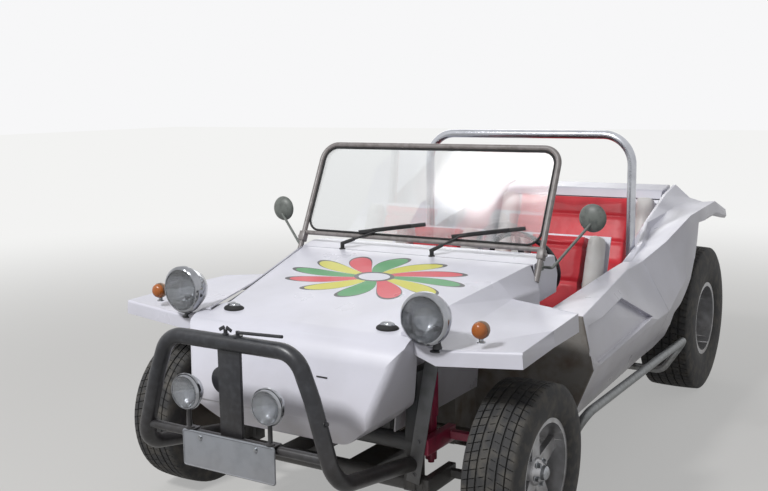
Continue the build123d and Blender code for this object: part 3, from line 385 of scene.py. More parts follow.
# %% Clear finishes
FLUTE_MM, RIB_MM, RIB_DEPTH_MM = 37.72, 25.15, 0.6
WAVE_RADIANS_PER_METRE = 20  # what the wave texture runs through at a scale of 1


def clear(name, tint, roughness, alpha, rib_mm=0.0, transmission=1.0):
    """Clear solid, with upright ribs of that width where it is given."""
    material, tree, shader, place = new_finish(name, roughness, IOR=1.5, Transmission_Weight=transmission,
                                               Alpha=alpha)
    shader.inputs["Base Color"].default_value = linear(tint)
    if rib_mm:
        scale = 2 * math.pi / WAVE_RADIANS_PER_METRE / (rib_mm / 1000)
        wave = add(tree, "TexWave", {"Vector": place, "Scale": scale, "Distortion": 0.0},
                   wave_type="BANDS", bands_direction="X")
        bump = add(tree, "Bump", {"Height": wave.outputs["Fac"], "Distance": RIB_DEPTH_MM / 1000})
        tree.links.new(bump.outputs["Normal"], shader.inputs["Normal"])
    print(name, "roughness", roughness)
    return material


screen_glass = clear("laminated_windscreen_glass", "#E6ECEE", 0.09, 0.38)
fluted_glass = clear("fluted_lamp_glass", "#D9DCE0", 0.12, 0.8, FLUTE_MM)
amber_acrylic = clear("amber_acrylic_lens", "#C9702A", 0.25, 1.0, RIB_MM, 0.35)
red_acrylic = clear("red_acrylic_lens", "#B01818", 0.25, 1.0, RIB_MM, 0.3)

# %% [markdown]
# ## Vinyl, rubber and moulded plastic
#
# Seat vinyl has a leather print of pores about 1 mm across, drawn here at 2 mm so that it shows. Tyre
# rubber is black under a film of sand, and moulded black plastic is finely grained. A texture of
# small cells makes the pores and a slow noise makes the folds, so the vinyl needs no image or unwrapping.

# %% Soft finishes
PORE_MM, FOLD_MM = 2, 62.5


def vinyl(name, clean, worn):
    """Printed vinyl: a soft sheen, small pores, shallow folds and slightly darker patches."""
    material, tree, shader, place = new_finish(name, 0.42, IOR=1.5, Sheen_Weight=0.08)
    colour = mottled(tree, place, 120, clean, worn)
    pores = add(tree, "TexVoronoi", {"Vector": place, "Scale": 1000 / PORE_MM}, feature="DISTANCE_TO_EDGE")
    folds = add(tree, "TexNoise", {"Vector": place, "Scale": 1000 / FOLD_MM, "Detail": 3.0})
    first = add(tree, "Bump", {"Height": folds.outputs["Fac"], "Distance": 0.004, "Strength": 0.6})
    second = add(tree, "Bump", {"Height": pores.outputs["Distance"], "Distance": 0.0003, "Strength": 0.5,
                                "Normal": first.outputs["Normal"]})
    tree.links.new(second.outputs["Normal"], shader.inputs["Normal"])
    tree.links.new(colour, shader.inputs["Base Color"])
    print(name, "pores of", PORE_MM, "mm")
    return material


def rubber(name, clean, sandy, share):
    """Black rubber with sand dried on in patches."""
    material, tree, shader, place = new_finish(name, 0.78, IOR=1.5)
    colour = mottled(tree, place, 45, clean, sandy, 0.62 - share, 0.9 - share)
    grain(tree, place, shader, 4, 0.25)
    tree.links.new(colour, shader.inputs["Base Color"])
    print(name, "more sand by", share)
    return material


red_vinyl = vinyl("red_seat_vinyl", "#DA2F3C", "#C22532")
white_vinyl = vinyl("white_seat_vinyl", "#DEDCDA", "#CFCCC8")
tyre_rubber = rubber("sandy_tyre_rubber", "#363637", "#57544F", 0.18)
seal_rubber = rubber("black_seal_rubber", "#1B1B1C", "#3A3734", 0.0)
abs_black = paint("grained_black_plastic", "#19191B", "#222224", 0.5, depth_mm=0.2)

# %% [markdown]
# ## Pieces
#
# A new piece is a bmesh that becomes an object at the origin, with its place in its mesh. It then rides on
# a CAD body, and the CAD nodes that it stands for are hidden. Edges sharper than a
# limit stay crisp, and a weighted-normal modifier keeps large flats flat beside small rounded edges.

# %% Piece helper
CRISP_EDGE = 35


def place_piece(name, bm, material, body="chassis", stands_for=(), crisp=CRISP_EDGE,
                weighted=False):
    """Turns a bmesh into a finished piece that rides on a body."""
    rounded = bm.edges.layers.int.get("rounded")
    for face in bm.faces:
        face.smooth = True
    for edge in bm.edges:
        edge.smooth = bool(rounded and edge[rounded]) or edge.calc_face_angle(0) < math.radians(crisp)
    mesh = bpy.data.meshes.new(name)
    bm.to_mesh(mesh)
    bm.free()
    for finish in (material if isinstance(material, (list, tuple)) else [material]):
        mesh.materials.append(finish)
    piece = bpy.data.objects.new(name, mesh)
    bpy.context.scene.collection.objects.link(piece)
    if weighted:
        piece.modifiers.new("flat_faces", "WEIGHTED_NORMAL").keep_sharp = True
    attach(piece, body)
    if stands_for:
        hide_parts(*stands_for)
    print(name, "faces", len(mesh.polygons))
    return piece


print("edges over", CRISP_EDGE, "degrees stay crisp")

# %% [markdown]
# ## Turned parts
#
# Lamps, mirrors, hubs and washers are all round about an axis, as a spinner or a lathe leaves them. Their
# outline is a short list of distances and radii, and one spin sweeps it round. Spinning leaves doubled
# vertices at the poles, so a second helper merges them and turns the faces outwards.

# %% Lathe and clean-up
MERGE_DISTANCE = 0.00002


def lathe(bm, center, facing, profile, steps=48):
    """Spins a profile of (distance along the facing, radius) in millimetres round its axis."""
    facing = Vector(facing).normalized()
    across = Vector((0, 0, 1)) if abs(facing.z) < 0.9 else Vector((1, 0, 0))
    side = (across - facing * across.dot(facing)).normalized()
    verts = [bm.verts.new(center + facing * (a / 1000) + side * (r / 1000)) for a, r in profile]
    edges = [bm.edges.new(pair) for pair in zip(verts, verts[1:])]
    bmesh.ops.spin(bm, geom=verts + edges, cent=center, axis=facing, angle=2 * math.pi, steps=steps,
                   use_merge=True)


def closed_up(bm, distance=MERGE_DISTANCE):
    """Merges doubles and turns every face outwards."""
    bmesh.ops.remove_doubles(bm, verts=bm.verts, dist=distance)
    bmesh.ops.recalc_face_normals(bm, faces=bm.faces)
    return bm


print("doubles closer than", MERGE_DISTANCE * 1000, "mm are merged")

# %% [markdown]
# ## Bent bar
#
# Tube is bent cold round a former, which leaves straight runs joined by true arcs. A curve gives that with
# few numbers: each bend becomes two knots whose handles are as long as an arc of that turn needs, and the
# curve's own bevel makes it round. The result goes straight back into the bmesh.

# %% Bends of a bar


def bend_stops(points, bend):
    """Knots along straight runs with rounded bends: place, handle before and handle after."""
    stops = [(points[0], None, None)]
    for before, corner, after in zip(points, points[1:], points[2:]):
        back, on = (before - corner).normalized(), (after - corner).normalized()
        turn = math.pi - back.angle(on)
        reach = bend / 1000 * math.tan(turn / 2)
        pull = bend / 1000 * 4 / 3 * math.tan(turn / 4)
        if reach < 1e-4:
            stops.append((corner, None, None))
            continue
        start, end = corner + back * reach, corner + on * reach
        stops.append((start, start + back * pull, start - back * pull))
        stops.append((end, end - on * pull, end + on * pull))
    stops.append((points[-1], None, None))
    return stops


corner_knots = bend_stops([Vector((0, 0, 0)), Vector((0, 0, 1)), Vector((0, 1, 1))], 100)
print("a bend of 100 mm starts at", corner_knots[1][0])

# %% Bar from a curve


def bar_into(bm, points, radius, bend=0.0, sides=8):
    """Adds a smooth round bar along straight runs with rounded bends, made from a curve."""
    curve = bpy.data.curves.new("route", "CURVE")
    curve.dimensions = "3D"
    curve.bevel_depth = radius / 1000
    curve.bevel_resolution = sides
    curve.use_fill_caps = True
    curve.resolution_u = 12
    stops = bend_stops(points, bend)
    spline = curve.splines.new("BEZIER")
    spline.bezier_points.add(len(stops) - 1)
    for knot, (co, left, far) in zip(spline.bezier_points, stops):
        knot.co = co
        knot.handle_left_type = knot.handle_right_type = "VECTOR"
        if left is not None:
            knot.handle_left_type = knot.handle_right_type = "FREE"
            knot.handle_left, knot.handle_right = left, far
    holder = bpy.data.objects.new("route", curve)
    mesh = bpy.data.meshes.new_from_object(holder)
    bm.from_mesh(mesh)
    bpy.data.meshes.remove(mesh)
    bpy.data.objects.remove(holder)
    bpy.data.curves.remove(curve)


sample = bmesh.new()
bar_into(sample, [Vector((0, 0, 0)), Vector((0, 0, 1))], 10)
print("a straight bar has", len(sample.faces), "faces")
sample.free()

# %% [markdown]
# ## Blocks and bolts
#
# Brackets and pads are cut from plate, and nothing cut and handled keeps a knife edge, so a block is a cube
# with a small bevel. A bolt is a washer and a hexagon, and both have slightly tapered sides to catch light.

# %% Blocks and bolt heads
# A hexagon's corners and its washer's rim, as shares of the width across its flats, and the taper.
HEX_CORNER, WASHER_RIM, TAPER = 0.577, 0.85, 0.94


def block_into(bm, center, size, bevel=0.0, turn=None):
    """Adds a box with softened edges; sizes in millimetres."""
    verts = bmesh.ops.create_cube(bm, size=1)["verts"]
    bmesh.ops.scale(bm, vec=Vector(size) / 1000, verts=verts)
    if bevel:
        edges = list(dict.fromkeys(e for v in verts for e in v.link_edges))
        cut = bmesh.ops.bevel(bm, geom=edges, offset=bevel / 1000, offset_type="OFFSET", segments=2,
                              profile=0.5, affect="EDGES", material=-1)
        verts = cut["verts"]
    if turn is not None:
        bmesh.ops.rotate(bm, cent=(0, 0, 0), matrix=turn, verts=verts)
    bmesh.ops.translate(bm, vec=center, verts=verts)


def hex_head_into(bm, center, facing, across_flats=13, height=6):
    """Adds a hexagon bolt head with its washer."""
    facing = Vector(facing).normalized()
    turn = facing.to_track_quat("Z", "Y").to_matrix()
    washer = (16, across_flats * WASHER_RIM, 1.6, 0)
    head = (6, across_flats * HEX_CORNER, height, 1.6)
    for sides, radius, tall, base in (washer, head):
        made = bmesh.ops.create_cone(bm, cap_ends=True, segments=sides, radius1=radius / 1000,
                                     radius2=radius * TAPER / 1000, depth=tall / 1000)
        bmesh.ops.rotate(bm, cent=(0, 0, 0), matrix=turn, verts=made["verts"])
        bmesh.ops.translate(bm, vec=center + facing * ((base + tall / 2) / 1000), verts=made["verts"])


sample = bmesh.new()
hex_head_into(sample, Vector((0, 0, 0)), (0, 0, 1))
print("a bolt head has", len(sample.faces), "faces")
sample.free()

# %% [markdown]
# ## Body panels
#
# Real panels have no knife edges: a mould needs a radius at every crease, or the gel coat cracks. Each panel
# starts as a copy of its CAD mesh with the doubles merged and the flat triangles dissolved. Then its edges
# are rounded in passes, wide where the faces beside them leave room and narrow at the thin rims. One bevel
# of a single width would either fold over at the rims or look sharp on the creases.

# %% Merged copies of CAD nodes


def cad_copy(node, flat=0.6):
    """Merged copy of a CAD node's mesh with its flat triangles dissolved."""
    bm = bmesh.new()
    bm.from_mesh(nodes[node].data)
    bmesh.ops.remove_doubles(bm, verts=bm.verts, dist=MERGE_DISTANCE)
    bmesh.ops.dissolve_limit(bm, angle_limit=math.radians(flat), verts=bm.verts, edges=bm.edges,
                             delimit=set())
    return bm


merged = cad_copy("bonnet")
print("bonnet:", len(nodes["bonnet"].data.polygons), "triangles become", len(merged.faces), "faces")
merged.free()

# %% Rounding in passes
PANEL_RADII = (9, 5, 2.2)
LENGTH_ROOM, BREADTH_ROOM = 2.4, 1.9


def breadth(face):
    """Rough narrowest width of a face."""
    return face.calc_area() / max(edge.calc_length() for edge in face.edges)


def has_room(edge, width):
    """True where the faces and edges beside an edge can take a radius of that width."""
    room = width / 1000 * LENGTH_ROOM
    beside = [e for v in edge.verts for e in v.link_edges if e is not edge]
    broad = min(breadth(f) for f in edge.link_faces) > width / 1000 * BREADTH_ROOM
    return (broad and edge.calc_length() > room
            and all(e.calc_length() > room for e in beside if set(e.link_faces) & set(edge.link_faces)))


def soften(bm, widths, sharp=24):
    """Rounds creases pass by pass, each edge with the widest radius that its neighbours leave room for."""
    done = bm.edges.layers.int.new("rounded")
    for width in widths:
        chosen = []
        for edge in bm.edges:
            if edge[done] or len(edge.link_faces) != 2 or edge.calc_face_angle(0) < math.radians(sharp):
                continue
            if has_room(edge, width):
                chosen.append(edge)
        if not chosen:
            continue
        cut = bmesh.ops.bevel(bm, geom=chosen, offset=width / 1000, offset_type="OFFSET", segments=3,
                              profile=0.5, affect="EDGES", material=-1, clamp_overlap=True, loop_slide=True)
        for face in cut["faces"]:
            for edge in face.edges:
                edge[done] = 1
    return bm


print("panel edges are tried at radii of", PANEL_RADII, "mm")

# %% The white panels
UNDERSIDE_NORMAL_Z, FRONT_NORMAL_Y = -0.4, -0.5
SPLASH_ENDS = at(0, 620, 0).y
for node in ("front_fender_left", "front_fender_right", "cowl", "side_left", "side_right",
             "rear_quarter_left", "rear_quarter_right", "rear_deck", "bonnet"):
    panel = soften(cad_copy(node), PANEL_RADII)
    finish = bonnet_paint if node == "bonnet" else gel_coat_white
    for face in panel.faces:
        # Fender faces that face down take the mud finish as dried mud and as painted shade under the fenders.
        # Forward faces of the sides near the front take it as splashed mud.
        under = "fender" in node and face.normal.z < UNDERSIDE_NORMAL_Z
        ahead = "side" in node and face.calc_center_median().y < SPLASH_ENDS
        face.material_index = int(under or (ahead and face.normal.y < FRONT_NORMAL_Y))
    place_piece(node + "_panel", panel, [finish, mud_and_painted_shade], "chassis", (node,), 24, True)

# %% [markdown]
# ## CAD nodes that keep their shape
#
# Mechanical parts that the CAD already draws in full only need their finish, so each gets its material. The
# mesh itself stays as it is.

# %% Finishes on CAD nodes
kept = {
    # The front bulkhead, seen inside the front wheel wells, takes the mud finish, which there also paints the
    # shade.
    "front_bulkhead": mud_and_painted_shade, "rear_bulkhead": gel_coat_white, "seat_shells": gel_coat_white,
    "floorpan": underbody_black, "rear_axle": underbody_black,
    "knuckle_left": underbody_black, "knuckle_right": underbody_black, "track_rod": underbody_black,
    "front_dampers": magenta_enamel, "rear_dampers": magenta_enamel, "steering_column": column_black,
    "gearbox": cast_aluminium, "engine": cast_aluminium, "fan_shroud": satin_black,
    "intake": satin_black, "exhaust": hot_steel, "instruments": abs_black,
    "front_plate": plate_enamel, "windscreen_glass": screen_glass, "controls": column_black,
}
for node, material in kept.items():
    nodes[node].data.materials.clear()
    nodes[node].data.materials.append(material)
print("finished CAD nodes", len(kept))

# %% [markdown]
# ## Generator with its black belt
#
# The generator, its pulley and the crank pulley are bare aluminium, and a rubber belt runs round both. The
# CAD makes them one node, so a merged copy gets a second material on every face that lies in the belt's
# plane and outside both pulleys.

# %% Belt on the generator drive
BELT_PLACE, BELT_HALF_WIDTH = at(0, 2955, 0).y, 0.0065
PULLEYS = ((0.396, 0.084), (0.688, 0.062))  # height and radius in metres
drive = bmesh.new()
drive.from_mesh(nodes["generator_drive"].data)
bmesh.ops.remove_doubles(drive, verts=drive.verts, dist=MERGE_DISTANCE)
for face in drive.faces:
    middle = face.calc_center_median()
    outside = all(math.hypot(middle.x, middle.z - z) > radius + 0.0003 for z, radius in PULLEYS)
    face.material_index = int(outside and abs(middle.y - BELT_PLACE) < BELT_HALF_WIDTH)
place_piece("generator_and_belt", drive, [cast_aluminium, seal_rubber], "chassis", ("generator_drive",),
            30)

# %% [markdown]
# ## Front beam and fender struts
#
# The beam is painted grey by brush, while the ends of its upper arms carry the dampers' magenta. Two flat
# struts of 6 mm steel run from the beam up to the fenders, each held by two bolts at its lower end. They are
# blocks turned to the line between their two ends.

# %% Painted arms and struts
ARM_END_X, ARM_END_Z = 0.439, 0.36
beam = soften(cad_copy("front_beam"), (3, 1.5), 30)
for face in beam.faces:
    middle = face.calc_center_median()
    face.material_index = int(abs(middle.x) > ARM_END_X and middle.z > ARM_END_Z)
place_piece("front_beam_painted", beam, [beam_grey, magenta_enamel], "chassis", ("front_beam",),
            30)
struts = bmesh.new()
for side in (-1, 1):
    low, high = at(side * 408, -185, 262), at(side * 503, -185, 792)
    lean = Matrix.Rotation(math.atan2(high.x - low.x, high.z - low.z), 3, "Y")
    block_into(struts, (low + high) / 2, (54, 6, (high - low).length * 1000), 1.5, lean)
    for share in (0.06, 0.3):
        hex_head_into(struts, low.lerp(high, share) + Vector((0, -0.003, 0)), (0, -1, 0), 13, 7)
place_piece("fender_struts", struts, strut_grey, "chassis", ())

# %% [markdown]
# ## Roll bar and side bars
#
# Both are round tube bent cold. The roll bar is polished and bolted to the cockpit walls through two plates a
# side, and the side bars are galvanised and end under the floor. A circle extruded from corner to corner
# would pinch at the bends, so each is a list of corners for the bar function.

# %% Roll bar and side bars
roll = bmesh.new()
bar_into(roll, [at(-571, 1700, 600), at(-571, 1700, 1433), at(571, 1700, 1433), at(571, 1700, 600)], 22, 150)
for side in (-1, 1):
    for height in (650, 800):
        block_into(roll, at(side * 590, 1700, height), (16, 80, 60), 3)
        for shift in (-24, 24):
            hex_head_into(roll, at(side * 582, 1700 + shift, height), (-side, 0, 0), 13, 7)
place_piece("roll_bar_tube", closed_up(roll), polished_tube, "chassis", ("roll_bar",))

bars = bmesh.new()
for side in (-1, 1):
    bar_into(bars, [at(side * x, aft, z) for x, aft, z in (
        (470, 560, 221), (700, 560, 221), (800, 490, 385), (800, 1930, 385), (700, 1860, 221),
        (470, 1860, 221))], 19, 55)
place_piece("side_bar_tubes", closed_up(bars), zinc_steel, "chassis", ("side_bars",))

# %% [markdown]
# ## Bull bar
#
# A hoop of thick tube protects the nose. A flat upright is welded in its middle, and a thinner tube carries
# the lamp stands and the plate. On top of the hoop stand a wing nut and a nut with a lever. The horn is a
# pressed disc with a rim of small bolts, behind the upright, and a small dark block of black rubber sits on
# the nose.
# Tube comes from the bar function, plates are blocks and round fittings are turned, so each looks as it is
# made.

# %% Dark mark on the nose
NOSE_LEAN = Matrix.Rotation(math.radians(-19.4), 3, "X")
dark_mark = bmesh.new()
# A small dark mark on the nose: a thin block of black rubber.
block_into(dark_mark, at(186, -419, 681), (46, 6, 5), 1, NOSE_LEAN)
place_piece("nose_dark_mark", dark_mark, seal_rubber, "chassis", ())

# %% Bull bar with its upright and fittings
TOP_OF_HOOP = 862
bull = bmesh.new()
hoop = [(400, -175, 330), (418, -680, 420), (335, -680, 690), (275, -680, 837)]
bar_into(bull, [at(-x, aft, z) for x, aft, z in hoop] + [at(x, aft, z) for x, aft, z in hoop[::-1]], 28, 98)
bar_into(bull, [at(-390, -680, 500), at(390, -680, 500)], 16)
block_into(bull, at(0, -680, 665), (96, 14, 340), 3)
for side in (-1, 1):
    block_into(bull, at(side * 175, -684, 519), (44, 38, 6), 1.5)
    block_into(bull, at(side * 100, -699, 490), (30, 12, 44), 2)
    hex_head_into(bull, at(side * 384, -680, 620), (side, 0, 0.3), 13, 8)
for x, radius in ((-14, 11), (38, 17)):
    lathe(bull, at(x, -680, TOP_OF_HOOP), (0, 0, 1), [(0, 0), (0, radius), (6, radius), (8, 7), (20, 7),
                                                      (21, 0)], 24)
for side in (-1, 1):
    wing = Matrix.Rotation(math.radians(side * 28), 3, "Y")
    block_into(bull, at(-14 + side * 15, -680, TOP_OF_HOOP + 22), (26, 5, 12), 2, wing)
bar_into(bull, [at(46, -684, 878), at(238, -700, 890)], 5.5)
place_piece("bull_bar_tube", closed_up(bull), satin_black, "chassis", ("bull_bar",))

# %% Horn
HORN_X, HORN_Z, RIM_BOLTS = -45, 700, 8
horn = bmesh.new()
lathe(horn, at(HORN_X, -673, HORN_Z), (0, 1, 0), [
    (0, 0), (0, 44), (2, 47), (5, 48), (8, 47), (10, 44), (16, 40), (26, 30), (34, 26), (66, 26), (70, 22),
    (70, 0)])
for turn in range(RIM_BOLTS):
    angle = 2 * math.pi * turn / RIM_BOLTS
    bolt_place = at(HORN_X + 40 * math.cos(angle), -660, HORN_Z + 40 * math.sin(angle))
    hex_head_into(horn, bolt_place, (0, 1, 0), 6, 3)
place_piece("horn", closed_up(horn), satin_black, "chassis", ())

# %% [markdown]
# ## Bonnet catches
#
# Two catches hold the bonnet's front corners: a plated button on a black rubber foot. Both are flattened
# spheres, which shows a domed pressing without a profile of its own.

# %% Bonnet catches
catches, catch_tops = bmesh.new(), bmesh.new()
for side in (-1, 1):
    for bm, size, lift in ((catches, (90, 62, 34), 0), (catch_tops, (58, 38, 24), 14)):
        made = bmesh.ops.create_uvsphere(bm, u_segments=24, v_segments=12, radius=0.5)
        bmesh.ops.scale(bm, vec=Vector(size) / 1000, verts=made["verts"])
        bmesh.ops.translate(bm, vec=at(side * 348, -246, 836 + lift), verts=made["verts"])
place_piece("bonnet_catches", catches, seal_rubber, "chassis", ())
place_piece("bonnet_catch_tops", catch_tops, chrome, "chassis", ())

# %% [markdown]
# ## Windscreen
#
# The hoop stands on the scuttle and its two legs run down outside the cowl. The glass sits in a black rubber
# channel. All of it leans back in one plane, so a function gives a place on that plane from a width and a
# height, and every run of tube is two such places.

# %% Windscreen hoop and seal
SCREEN_TOP = math.hypot(191, 394)
SCREEN_RISE = Vector((0, 191, 394)) / SCREEN_TOP
SCREEN_LEAN = Matrix.Rotation(math.radians(-25.9), 3, "X")
POST_X, LEG_FOOT = 590, -135


def on_screen(x, height):
    """Place on the windscreen's plane, that far up it from the lower rail."""
    return at(x, 543, 1022) + SCREEN_RISE * height / 1000


screen = bmesh.new()
bar_into(screen, [on_screen(-POST_X, LEG_FOOT), on_screen(-POST_X, SCREEN_TOP), on_screen(POST_X, SCREEN_TOP),
                  on_screen(POST_X, LEG_FOOT)], 12, 75)
bar_into(screen, [on_screen(-POST_X, 0), on_screen(POST_X, 0)], 10)
for side in (-1, 1):
    block_into(screen, on_screen(side * POST_X, -20), (30, 34, 46), 4, SCREEN_LEAN)
    hex_head_into(screen, on_screen(side * (POST_X + 16), -20), (side, 0, 0), 13, 7)
place_piece("windscreen_hoop", closed_up(screen), screen_frame_paint, "chassis", ("windscreen_frame",))

seal = bmesh.new()
half, low, high = 574, 15, SCREEN_TOP - 16
bar_into(seal, [on_screen(0, low), on_screen(-half, low), on_screen(-half, high), on_screen(half, high),
                on_screen(half, low), on_screen(0.2, low)], 5, 60)
place_piece("windscreen_seal", closed_up(seal), seal_rubber, "chassis", ())

# %% [markdown]
# ## Wipers
#
# Two arms with rubber blades park across the lower half of the glass. An arm leaves its spindle under a
# small head, turns at an elbow and meets the middle of its blade, so three places a wiper are enough, and
# the blade's own direction comes from the last two.

# %% Wiper arms and blades
BLADE_HALF = 165
WIPERS = (((-354, 508, 990), (-172, 541, 1058), (42, 560, 1091)),
          ((103, 508, 990), (225, 541, 1056), (506, 564, 1100)))
wipers = bmesh.new()
for spindle, elbow, tip in WIPERS:
    lathe(wipers, at(spindle[0], spindle[1], 958), (0, 0, 1), [
        (0, 0), (0, 16), (10, 14), (12, 9), (34, 9), (38, 6), (38, 0)], 24)
    spindle, elbow, tip = at(*spindle), at(*elbow), at(*tip)
    along = (tip - elbow).normalized()
    middle = tip - along * (BLADE_HALF / 1000)
    bar_into(wipers, [spindle, elbow, middle], 4.5, 30)
    arm_turn = (elbow - spindle).to_track_quat("X", "Z").to_matrix()
    block_into(wipers, spindle.lerp(elbow, 0.16), (64, 16, 16), 4, arm_turn)
    blade_turn = along.to_track_quat("X", "Z").to_matrix()
    block_into(wipers, middle + Vector((0, 0.004, 0.0)), (2 * BLADE_HALF, 8, 17), 2, blade_turn)
    block_into(wipers, middle + Vector((0, 0, 0.006)), (190, 12, 8), 2, blade_turn)
place_piece("wiper_arms", closed_up(wipers), abs_black, "chassis", ("wipers",))

# %% [markdown]
# ## Lamps
#
# A headlamp of this age is a spun chrome bowl with a rim that holds the pressed glass over a silvered
# reflector. All four round lamps have that build, so one function makes them from a radius and a depth.

# %% Round lamps
bowls, glasses, reflectors, stands = (bmesh.new() for _ in range(4))
FORWARDS = (0, -1, 0)


def round_lamp(center, radius, depth):
    """Bowl, rim, convex fluted glass, reflector and bulb of one lamp that faces forwards."""
    shell = [(-depth, 0), (-depth * 0.99, 0.24), (-depth * 0.9, 0.48), (-depth * 0.72, 0.7),
             (-depth * 0.45, 0.87), (-depth * 0.22, 0.95), (-depth * 0.2, 1.0), (-6, 1.0), (-1, 0.985),
             (3, 0.94), (6, 0.9), (6, 0.86), (0, 0.852), (-depth * 0.3, 0.83), (-depth * 0.7, 0.6),
             (-depth * 0.94, 0.2), (-depth * 0.96, 0)]
    lathe(bowls, center, FORWARDS, [(a, r * radius) for a, r in shell])
    face = [(18, 0), (16.5, 0.3), (12.6, 0.6), (5, 0.855), (1, 0.855), (8.6, 0.6), (12.5, 0.3), (14, 0)]
    lathe(glasses, center, FORWARDS, [(a, r * radius) for a, r in face])
    dish = [(-0.62, 0.0), (-0.6, 0.2), (-0.5, 0.45), (-0.3, 0.68), (0.0, 0.85)]
    back = [(a * depth - 2, r * radius + 1) for a, r in dish[::-1]]
    back[-1] = (back[-1][0], 0)
    lathe(reflectors, center, FORWARDS, [(a * depth, r * radius) for a, r in dish] + back)
    bulb = [(0, 0), (0, 0.1), (0.16, 0.13), (0.24, 0.07), (0.26, 0)]
    lathe(glasses, center + Vector(FORWARDS) * (-0.5 * depth / 1000), FORWARDS,
          [(a * radius, r * radius) for a, r in bulb], 20)


for side in (-1, 1):
    round_lamp(at(side * 540, -329, 905), 92, 110)
    lathe(stands, at(side * 560, -272, 786), (0, 0, 1), [
        (0, 0), (0, 26), (5, 26), (10, 18), (26, 13), (76, 13), (84, 17), (88, 17), (88, 0)], 32)
    round_lamp(at(side * 175, -714, 652), 64, 60)
    lathe(stands, at(side * 175, -697, 522), (0, 0, 1), [
        (0, 0), (0, 16), (5, 15), (8, 8), (64, 8), (70, 12), (78, 12), (78, 0)], 24)
place_piece("lamp_bowls", closed_up(bowls), chrome, "chassis", ("headlamps", "aux_lamps"))
place_piece("lamp_glasses", closed_up(glasses), fluted_glass, "chassis", ())
place_piece("lamp_reflectors", closed_up(reflectors), mirror_silver, "chassis", ())
place_piece("lamp_stands", closed_up(stands), satin_black, "chassis", ())

# %% [markdown]
# ## Signals and tail lamps
#
# Each front signal is a bronze ring between two amber lenses, one for each direction, on a short chromed
# stem. The tail lamps are domed red lenses in chromed rings on the sloping tail panel. Lens, ring and stem
# are turned parts again, so that no seam shows between them.

# %% Signals and tail lamps
ambers, reds, rings, bodies = (bmesh.new() for _ in range(4))
TAIL_FACING = Vector((0, 205, 65)).normalized()
for side in (-1, 1):
    center = at(side * 719, -277, 876)
    lathe(ambers, center, (0, -1, 0), [(16, 0), (15, 11), (12, 19), (6, 25), (-1, 28), (-5, 28), (-5, 0)], 32)
    lathe(ambers, center, (0, 1, 0), [(42, 0), (41, 11), (38, 18), (34, 24), (29, 27), (22, 28), (22, 0)], 32)
    lathe(bodies, center, (0, 1, 0), [(5, 0), (5, 29), (7, 30), (20, 30), (22, 29), (22, 0)], 32)
    lathe(rings, at(side * 719, -262, 833), (0, 0, 1), [
        (0, 0), (0, 15), (4, 14), (6, 8), (24, 8), (24, 0)], 24)
    center = at(side * 400, 2716.5, 990)
    lathe(rings, center, TAIL_FACING, [(0, 0), (0, 45), (10, 45), (12, 42), (12, 0)], 40)
    lathe(reds, center, TAIL_FACING, [(12, 0), (12, 42), (20, 40), (26, 32), (28, 18), (28.4, 0)], 40)
place_piece("signal_lenses", closed_up(ambers), amber_acrylic, "chassis", ("turn_signals",))
place_piece("tail_lenses", closed_up(reds), red_acrylic, "chassis", ("tail_lamps",))
place_piece("lamp_rings", closed_up(rings), chrome, "chassis", ())
place_piece("signal_bodies", closed_up(bodies), signal_bronze, "chassis", ())

# %% [markdown]
# ## Mirrors
#
# A round mirror sits in a pressed shell on a thin arm bolted to the cowl's end. The shell is a turned dish
# whose lip folds over the glass, and the glass is a disc of its own so that it can be silvered.

# %% Mirrors
heads, mirror_faces = bmesh.new(), bmesh.new()
SHELL = [(-26, 0), (-25, 18), (-21, 36), (-14, 49), (-6, 56), (-1, 58), (0, 57), (0, 54), (-2, 53), (-2, 0)]
for side, x, aft, z in ((1, 741, 700, 1140), (-1, 790, 654, 1112)):
    bar_into(heads, [at(side * 572, 565, 948), at(side * 625, 565, 948), at(side * x, aft - 18, z - 20)],
             6, 12)
    lathe(heads, at(side * x, aft, z), (0, 1, 0), SHELL)
    lathe(mirror_faces, at(side * x, aft, z), (0, 1, 0), [(-2, 0), (-2, 53), (-1, 53), (-1, 0)])
    block_into(heads, at(side * 575, 565, 948), (10, 44, 34), 3)
place_piece("mirror_heads", closed_up(heads), mirror_shell_paint, "chassis", ("mirrors",))
place_piece("mirror_faces", closed_up(mirror_faces), mirror_silver, "chassis", ())

# %% [markdown]
# ## Tyres
#
# The tyres are made by spinning their section about the axle, one block and one slot at a time, so that the
# slot faces can be sunk afterwards. The section carries the bead, the bulged wall and the grooves, and the
# blocks are turned a little the further out they lie, as in a V tread. A bump would be quicker, but the
# tread shows on the outline.

# %% Tyre section
# Each section is the tyre's radius, its width, half the distance between its beads, and its grooves, each
# with a place and a width across the tread, all in millimetres.
FRONT_TYRE = (320, 204, 76, ((0, 7), (36, 9), (66, 6)))
REAR_TYRE = (396, 276, 115, ((0, 9), (42, 11), (84, 9)))
BEAD_RADIUS, GROOVE_DEPTH, CROWN_DROP = 190, 7, 5
# Places on the wall as shares of the half width and of the wall's height, from the bead outwards.
WALL = ((0.975, 0.26), (0.985, 0.3), (1, 0.42), (1, 0.55), (0.985, 0.7), (0.955, 0.83), (0.92, 0.92))


